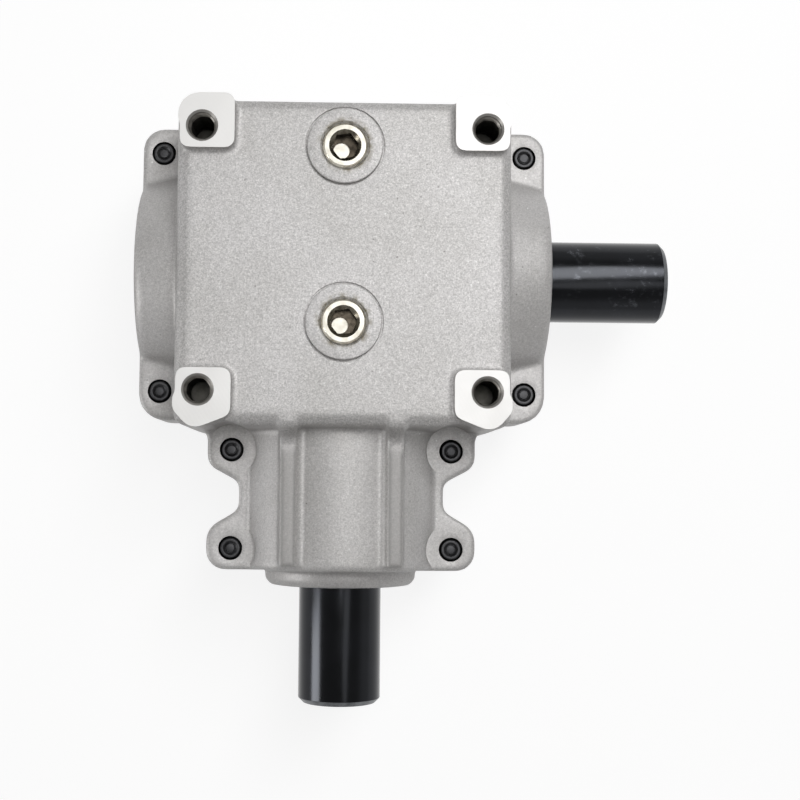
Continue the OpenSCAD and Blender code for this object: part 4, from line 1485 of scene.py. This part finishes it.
@dataclass
class HousingScrews:
    """Eight socket-head screws: one turned screw, set at every place by Geometry Nodes."""

    r: float = 3.58 * MM
    pitch: float = 1.25 * MM
    thread_depth: float = 0.5 * MM
    head_r: float = 6.5 * MM
    head_h: float = 8 * MM
    socket_w: float = 6 * MM
    knurls: int = 36
    knurl_depth: float = 0.22 * MM
    # Share of the head's radius past which points are knurled
    knurled_from: float = 0.985
    seed: int = 7
    places: list[Vector] = field(default_factory=lambda: solid_centres("housing_screws"))

    def screw(self) -> bpy.types.Object:
        """One screw on the Z axis, at its own height.

        Returns:
            The screw, before its head is knurled.
        """
        under = SIZE.screw_low + self.head_h
        tip = SIZE.screw_top
        rings = 100
        start = SIZE.plane - 2 * MM
        body = [(self.r, start + (tip - MM - start) * k / rings) for k in range(rings + 1)]
        head = rounded([(0, SIZE.screw_low, 0), (self.head_r, SIZE.screw_low, 0.7 * MM),
                        (self.head_r, under, 0.15 * MM), (self.r, under, 0)], 5, closed=False)
        cup = rounded([(self.r, tip - MM, 0), (self.r - 0.8 * MM, tip, 0.1 * MM),
                       *offset(0, tip, [(2.15, 0, 0.1), (1.5, -0.75, 0.1), (1.25, -0.3, 0.1), (0, -0.3, 0)])],
                      3, closed=False)[1:]
        piece = turned("housing_screw_set", [*head, *body, *cup], Way.UP, 72,
                       shape=thread_shape(self.pitch, self.thread_depth, start, tip - 0.4 * MM))
        corner = self.socket_w / 2 / math.cos(math.pi / 6)
        hexagon = [(corner * math.cos(math.pi / 3 * k), corner * math.sin(math.pi / 3 * k)) for k in range(6)]
        cone = [(0, SIZE.screw_low - MM), (self.socket_w / 2 + 1.6 * MM, SIZE.screw_low - MM),
                (self.socket_w / 2, SIZE.screw_low + 0.6 * MM), (0, SIZE.screw_low + 0.6 * MM)]
        socket = prism("cutter", hexagon, SIZE.screw_low - MM, SIZE.screw_low + self.head_h / 2)
        return combined(piece, [socket, turned("cutter", cone, Way.UP, 72)])

    def pattern(self) -> bpy.types.NodeTree:
        """The tree that knurls the head and sets the screws at their places.

        Returns:
            The Geometry Nodes tree.
        """
        tree, given, result = geometry_tree("screw_pattern", [
            ("Places", "NodeSocketObject", None), ("Knurls", "NodeSocketInt", self.knurls),
            ("Knurl Depth", "NodeSocketFloat", self.knurl_depth),
            ("Head Radius", "NodeSocketFloat", self.head_r),
            ("Turn Seed", "NodeSocketInt", self.seed), ("Finish", "NodeSocketMaterial", None)])
        place = node(tree, "GeometryNodeInputPosition")
        parts = node(tree, "ShaderNodeSeparateXYZ", links={0: place.outputs[0]})
        flat = node(tree, "ShaderNodeVectorMath", {1: (1.0, 1.0, 0.0)}, {0: place.outputs[0]},
                    operation="MULTIPLY")
        reach = node(tree, "ShaderNodeVectorMath", links={0: flat.outputs[0]}, operation="LENGTH")
        rim = node(tree, "ShaderNodeMath", {1: self.knurled_from}, {0: given.outputs["Head Radius"]},
                   operation="MULTIPLY")
        on_rim = node(tree, "FunctionNodeCompare", links={0: reach.outputs["Value"], 1: rim.outputs[0]},
                      data_type="FLOAT", operation="GREATER_THAN")
        angle = node(tree, "ShaderNodeMath", links={0: parts.outputs[1], 1: parts.outputs[0]},
                     operation="ARCTAN2")
        wave = node(tree, "ShaderNodeMath", links={0: angle.outputs[0], 1: given.outputs["Knurls"]},
                    operation="MULTIPLY")
        ripple = node(tree, "ShaderNodeMath", links={0: wave.outputs[0]}, operation="COSINE")
        deep = node(tree, "ShaderNodeMath", {1: -1.0}, {0: given.outputs["Knurl Depth"]},
                    operation="MULTIPLY")
        dip = node(tree, "ShaderNodeMapRange", {"From Min": -1.0, "From Max": 1.0, "To Max": 0.0},
                   {"Value": ripple.outputs[0], "To Min": deep.outputs[0]})
        outward = node(tree, "ShaderNodeVectorMath", links={0: flat.outputs[0]}, operation="NORMALIZE")
        shift = node(tree, "ShaderNodeVectorMath", links={0: outward.outputs[0], "Scale": dip.outputs[0]},
                     operation="SCALE")
        knurled = node(tree, "GeometryNodeSetPosition", links={
            "Geometry": given.outputs["Geometry"], "Selection": on_rim.outputs[0],
            "Offset": shift.outputs[0]})
        info = node(tree, "GeometryNodeObjectInfo", links={"Object": given.outputs["Places"]})
        turns = node(tree, "FunctionNodeRandomValue", {0: (0.0, 0.0, 0.0), 1: (0.0, 0.0, 2 * math.pi)},
                     {"Seed": given.outputs["Turn Seed"]}, data_type="FLOAT_VECTOR")
        copies = node(tree, "GeometryNodeInstanceOnPoints", links={
            "Points": info.outputs["Geometry"], "Instance": knurled.outputs[0], "Rotation": turns.outputs[0]})
        real = node(tree, "GeometryNodeRealizeInstances", links={"Geometry": copies.outputs[0]})
        dressed = node(tree, "GeometryNodeSetMaterial", links={
            "Geometry": real.outputs[0], "Material": given.outputs["Finish"]})
        tree.links.new(dressed.outputs[0], result.inputs[0])
        return tree

    def build(self) -> None:
        """Builds the eight screws as one piece."""
        mesh = bpy.data.meshes.new("screw_places")
        mesh.from_pydata([(p.x, p.y, 0.0) for p in self.places], [], [])
        spots = shown("screw_places", mesh)
        piece = self.screw()
        run_tree(piece, self.pattern(), {
            "Places": spots, "Knurls": self.knurls, "Knurl Depth": self.knurl_depth,
            "Head Radius": self.head_r, "Turn Seed": self.seed, "Finish": finish(BLACK_SCREW)})
        dropped(spots)
        smooth(piece, 32)
        piece.data.materials.append(finish(SCREW_TIP))
        # The upward flat faces of the tips get the paler copy: painted light
        for face in piece.data.polygons:
            if face.normal.z > FLAT and face.center.z > SIZE.screw_top - 0.4 * MM:
                face.material_index = 1
        fitted(piece, None, Slot.BLACK, "housing_screws")


@dataclass
class Seals:
    """Oil seals and the pressed cap, turned with their lips, ribs and rolled edges."""

    case_t: float = 0.9 * MM
    lip_gap: float = 0.04 * MM

    def rubber(self, source: str, way: Way, start: float, stop: float, r: float) -> None:
        """The rubber body of one seal, with a dust lip and shallow moulded rings on its face.

        Args:
            source: CAD node that it stands for.
            way: Direction in which the seal faces.
            start: Station of its inner side.
            stop: Station of its outer side.
            r: Outer radius.
        """
        lip = SIZE.journal_r + self.lip_gap
        wall = r - self.case_t - 0.02 * MM
        rim = stop - self.case_t
        floor = start + 4.2 * MM
        mid = (lip + r) / 2
        outer = rounded([(r - 0.5 * MM, rim, 0), (r - 0.9 * MM, stop - 0.05 * MM, 0.4 * MM),
                         *offset(mid, stop, [(1.4, -0.05, 0.3), (0.9, -0.5, 0.2), (-0.6, -0.5, 0.2),
                                             (-1.1, -0.05, 0.3)]),
                         *offset(lip, stop, [(0.9, -0.05, 0.3), (0, -0.5, 0.1), (0.5, -1.6, 0.2)]),
                         (lip + 0.8 * MM, start + 3 * MM, 0)], 4, closed=False)
        profile = [*offset(lip, start, [(0, 1.6), (1, 0.45), (1.98, 0.45)]), (lip + 2 * MM, floor),
                   (wall, floor), (wall, rim), *outer]
        piece = turned(source + "_moulded", profile, way, 144)
        smooth(piece, 40)
        fitted(piece, RUBBER, Slot.RUBBER, source)

    def case(self, source: str, way: Way, start: float, stop: float, r: float) -> None:
        """The pressed steel case of one seal.

        Args:
            source: CAD node that it stands for.
            way: Direction in which the seal faces.
            start: Station of its inner side.
            stop: Station of its outer side.
            r: Outer radius.
        """
        wall = self.case_t
        face, bore = stop - wall, r - 2.4 * MM
        profile = rounded([(bore, start, 0.1 * MM), (r - 0.1 * MM, start, 0.9 * MM), (r, face, 0.15 * MM),
                           (r - wall, face, 0.1 * MM), (r - wall, start + wall, 0.2 * MM),
                           (bore, start + wall, 0.1 * MM)], 4)
        piece = turned(source + "_pressed", profile, way, 144)
        smooth(piece, 40)
        fitted(piece, SPRING, Slot.SPRING, source)

    def cap(self) -> None:
        """The rubber-covered cap in the blind end, dished in the middle."""
        start, stop = -high("blind_end_cap", 0), -low("blind_end_cap", 0)
        r = high("blind_end_cap", 1)
        inside = stop - 2.6 * MM
        outline = rounded([(0, inside, 0), (0, stop - 1.4 * MM, 0),
                           *offset(r, stop, [(-5.2, -1.4, 1), (-4.2, 0, 0.6), (-1.6, 0, 0.3),
                                             (-1.3, -0.3, 0.15), (-0.9, 0, 0.3), (0, -0.4, 0.3)]),
                           *offset(r, start, [(0, 0, 0.6), (-1.4, 0, 0.4)]),
                           (r - 1.4 * MM, inside, 0.6 * MM)], 5)
        piece = turned("blind_end_cap_moulded", outline, Way.BLIND, 160)
        smooth(piece, 40)
        fitted(piece, RUBBER, Slot.RUBBER, "blind_end_cap")

    def build(self) -> None:
        """Builds both seals and the cap."""
        for name, way, start, stop, r in (
                ("output", Way.OUTPUT, SIZE.out_seal, SIZE.out_seal_end, SIZE.bearing_r),
                ("input", Way.INPUT, SIZE.in_seal, SIZE.in_seal_end, SIZE.in_seal_r)):
            self.rubber(name + "_oil_seal", way, start, stop, r)
            self.case(name + "_seal_case", way, start, stop, r)
        self.cap()


@dataclass
class Bearings:
    """Four deep-groove ball bearings: turned rings and Geometry Nodes balls."""

    balls: int = len(solid_centres("output_drive_bearing_balls"))
    ball_r: float = (high("output_drive_bearing_balls", 0) - low("output_drive_bearing_balls", 0)) / 2
    land: float = 0.27
    edge: float = 0.6 * MM
    track_edge: float = 0.3 * MM
    track_play: float = 0.05 * MM

    def tree(self) -> bpy.types.NodeTree:
        """The tree that sets the balls round the pitch circle.

        Returns:
            The Geometry Nodes tree.
        """
        tree, given, result = geometry_tree("ball_set", [
            ("Balls", "NodeSocketInt", self.balls), ("Pitch Radius", "NodeSocketFloat", 19 * MM),
            ("Ball Radius", "NodeSocketFloat", self.ball_r), ("Finish", "NodeSocketMaterial", None)])
        circle = node(tree, "GeometryNodeMeshCircle", links={
            "Vertices": given.outputs["Balls"], "Radius": given.outputs["Pitch Radius"]})
        ball = node(tree, "GeometryNodeMeshUVSphere", {"Segments": 40, "Rings": 20},
                    {"Radius": given.outputs["Ball Radius"]})
        copies = node(tree, "GeometryNodeInstanceOnPoints", links={
            "Points": circle.outputs[0], "Instance": ball.outputs[0]})
        real = node(tree, "GeometryNodeRealizeInstances", links={"Geometry": copies.outputs[0]})
        dressed = node(tree, "GeometryNodeSetMaterial", links={
            "Geometry": real.outputs[0], "Material": given.outputs["Finish"]})
        tree.links.new(dressed.outputs[0], result.inputs[0])
        return tree

    def bearing(self, name: str, way: Way, start: float, tree: bpy.types.NodeTree) -> None:
        """Builds one bearing's rings and balls.

        Args:
            name: Start of the names of its CAD nodes.
            way: Direction of its axis.
            start: Station of its inner side.
            tree: Tree that sets the balls.
        """
        pitch = (SIZE.journal_r + SIZE.bearing_r) / 2
        stop = start + SIZE.bearing_w
        land = self.land * 2 * self.ball_r
        middle = start + SIZE.bearing_w / 2
        track_r = self.ball_r + self.track_play
        spread = math.acos(land / track_r)
        small, large = self.track_edge, self.edge
        rings = (("outer", pitch + land, SIZE.bearing_r, 1),
                 ("inner", pitch - land, SIZE.journal_r + 0.02 * MM, -1))
        for part, near, far, side in rings:
            arc = [(pitch + side * track_r * math.cos(a), middle + track_r * math.sin(a))
                   for a in [-spread + 2 * spread * k / 14 for k in range(15)]]
            path = [*arc, (near, stop - small), (near + side * small, stop), (far - side * large, stop),
                    (far, stop - large), (far, start + large), (far - side * large, start),
                    (near + side * small, start), (near, start + small)]
            piece = turned(f"{name}_{part}_ring", path, way, 144)
            smooth(piece, 30)
            fitted(piece, BEARING, Slot.BEARING, f"{name}_{part}")
        balls = shown(name + "_ball_set", bpy.data.meshes.new(name + "_ball_set"))
        run_tree(balls, tree, {"Balls": self.balls, "Pitch Radius": pitch, "Ball Radius": self.ball_r,
                               "Finish": finish(BEARING)})
        turn = self.start_turn(name, way)
        balls.data.transform(placed(way) @ Matrix.Translation((0, 0, middle)) @ Matrix.Rotation(turn, 4, "Z"))
        smooth(balls, 60)
        fitted(balls, BEARING, Slot.BEARING, name + "_balls")

    def start_turn(self, name: str, way: Way) -> float:
        """Angle of the first ball about the bearing's axis.

        Args:
            name: Start of the names of the bearing's CAD nodes.
            way: Direction of its axis.

        Returns:
            The angle in radians.
        """
        first = solid_centres(name + "_balls")[0]
        local = placed(way).inverted() @ first
        return math.atan2(local.y, local.x)

    def build(self) -> None:
        """Builds the four bearings."""
        tree = self.tree()
        for name, way, start in (("output_drive_bearing", Way.OUTPUT, SIZE.out_bearing),
                                 ("output_blind_bearing", Way.BLIND, SIZE.out_bearing),
                                 ("input_rear_bearing", Way.INPUT, SIZE.in_rear),
                                 ("input_front_bearing", Way.INPUT, SIZE.in_front)):
            self.bearing(name, way, start, tree)


def dress_rest() -> None:
    """Gives every solid that still shows a smooth copy and its finish."""
    looks = {Slot.GEAR.value: GEAR, Slot.SPRING.value: SPRING, Slot.BRASS.value: BRASS,
             Slot.BEARING.value: BEARING}
    slots = {part["node"]: part["material_slot"] for part in frame["record"]["subparts"]}
    for name, solid in NODES.items():
        if solid.hide_render:
            continue
        piece = merged_copy(name + "_finished", name)
        smooth(piece, 26)
        fitted(piece, looks[slots[name]], Slot(slots[name]), name)


@dataclass
class Studio:
    """White table, soft lights and the camera of the photograph."""

    lens: float = 60.955
    sensor: float = 36.0
    shift_x: float = 0.05005
    shift_y: float = -0.01502
    eye: tuple[float, float, float] = (-2.689 * MM, -64.115 * MM, 384.22 * MM)
    # Turn from the row frame to the camera's frame, about X, Y and Z
    turn: tuple[float, float, float] = (-0.0698432, 0.0195893, -0.0105171)

    def camera(self) -> None:
        """Sets the camera at the photograph's viewpoint."""
        data = bpy.data.cameras.new("photo_camera")
        data.lens = self.lens
        data.sensor_width = self.sensor
        data.shift_x = self.shift_x
        data.shift_y = self.shift_y
        data.clip_start = 0.01
        data.clip_end = 10
        camera = bpy.data.objects.new("photo_camera", data)
        bpy.context.scene.collection.objects.link(camera)
        a, b, c = self.turn
        to_camera = Matrix.Rotation(c, 4, "Z") @ Matrix.Rotation(b, 4, "Y") @ Matrix.Rotation(a, 4, "X")
        camera.matrix_world = Matrix.Translation(self.eye) @ to_camera.transposed()
        bpy.context.scene.camera = camera

    def lamp(self, name: str, place: tuple[float, float, float], size: Point,
             watts: float) -> bpy.types.Object:
        """A soft rectangular lamp that faces the gearbox.

        Args:
            name: Name of the lamp.
            place: Where it stands.
            size: Width and height.
            watts: Power.

        Returns:
            The lamp.
        """
        data = bpy.data.lights.new(name, "AREA")
        data.shape = "RECTANGLE"
        data.size, data.size_y = size
        data.energy = watts
        lamp = bpy.data.objects.new(name, data)
        bpy.context.scene.collection.objects.link(lamp)
        lamp.location = place
        aim = Vector((0, 0, SIZE.plane)) - Vector(place)
        lamp.rotation_euler = aim.to_track_quat("-Z", "Y").to_euler()
        return lamp

    def sees_background(self, tree: bpy.types.NodeTree) -> Any:
        """A socket that is 1 for camera, glossy and transmission rays.

        Args:
            tree: Tree that gets the nodes.

        Returns:
            The socket.
        """
        path = node(tree, "ShaderNodeLightPath")
        glossy = node(tree, "ShaderNodeMath", links={0: path.outputs["Is Camera Ray"],
                                                     1: path.outputs["Is Glossy Ray"]}, operation="MAXIMUM")
        both = node(tree, "ShaderNodeMath", links={
            0: glossy.outputs[0], 1: path.outputs["Is Transmission Ray"]}, operation="MAXIMUM")
        return both.outputs[0]

    def world(self) -> None:
        """A white surround, with a dim light of its own."""
        world = bpy.data.worlds.new("studio")
        bpy.context.scene.world = world
        tree = cleared(world)
        place = node(tree, "ShaderNodeTexCoord").outputs["Generated"]
        parts = node(tree, "ShaderNodeSeparateXYZ", links={0: place})
        ceiling = node(tree, "ShaderNodeValToRGB", links={"Fac": parts.outputs[2]}, stops=[
            (0.0, grey(0.65)), (0.34, grey(0.62)), (0.60, grey(0.28)), (1.0, grey(0.22))]).outputs[0]
        path = node(tree, "ShaderNodeLightPath")
        seen = node(tree, "ShaderNodeMix", {7: grey(1.0)}, {0: path.outputs["Is Camera Ray"], 6: ceiling},
                    data_type="RGBA")
        white = node(tree, "ShaderNodeBackground", {"Strength": 1.0}, {"Color": seen.outputs[2]})
        fill = node(tree, "ShaderNodeBackground", {"Color": grey(1.0), "Strength": 0.02})
        mix = node(tree, "ShaderNodeMixShader", links={
            0: self.sees_background(tree), 1: fill.outputs[0], 2: white.outputs[0]})
        node(tree, "ShaderNodeOutputWorld", links={"Surface": mix.outputs[0]})

    def table(self) -> None:
        """The white table under the gearbox, which keeps its shadow."""
        half = 3.0
        mesh = bpy.data.meshes.new("studio_table")
        corners = [(-half, -half, 0), (half, -half, 0), (half, half, 0), (-half, half, 0)]
        mesh.from_pydata(corners, [], [(0, 1, 2, 3)])
        mesh.transform(Matrix.Translation((0, 0, SIZE.base - 0.1 * MM)))
        floor = shown("studio_table", mesh)
        material = bpy.data.materials.new("white_table")
        tree = cleared(material)
        plain = node(tree, "ShaderNodeBsdfDiffuse", {"Color": grey(0.18)})
        soft = node(tree, "ShaderNodeBsdfDiffuse", {"Color": grey(0.22)})
        glow = node(tree, "ShaderNodeEmission", {"Color": grey(1.0), "Strength": 0.86})
        lifted = node(tree, "ShaderNodeAddShader", links={0: soft.outputs[0], 1: glow.outputs[0]})
        mix = node(tree, "ShaderNodeMixShader", links={
            0: self.sees_background(tree), 1: plain.outputs[0], 2: lifted.outputs[0]})
        node(tree, "ShaderNodeOutputMaterial", links={"Surface": mix.outputs[0]})
        mesh.materials.append(material)

    def build(self) -> None:
        """Sets up camera, lights, surround and table."""
        bpy.context.scene.view_settings.view_transform = "Standard"
        self.camera()
        self.world()
        self.table()
        self.lamp("main_softbox", (0.19, 0.23, 0.80), (0.30, 0.80), 4.85)
        self.lamp("front_fall_off", (0.30, -0.21, 0.83), (0.37, 0.20), 0.27)
        self.lamp("back_softbox", (-0.05, 0.80, 0.35), (0.60, 0.25), 0.45).visible_glossy = False
        self.lamp("left_strip", (-0.80, -0.08, 0.04), (0.70, 0.05), 0.90).visible_glossy = False
        # Seen only as a light line along the input shaft
        self.lamp("left_card", (-0.80, -0.29, 0.25), (0.20, 0.38), 2.1).visible_diffuse = False


def main() -> None:
    """Builds the scene in order and reports each piece."""
    logging.basicConfig(level=logging.INFO, format="%(name)s: %(message)s")
    Studio().build()
    Castings().build()
    Shafts().build()
    Plugs().build()
    HousingScrews().build()
    Seals().build()
    Bearings().build()
    dress_rest()


if __name__ == "__main__":
    main()
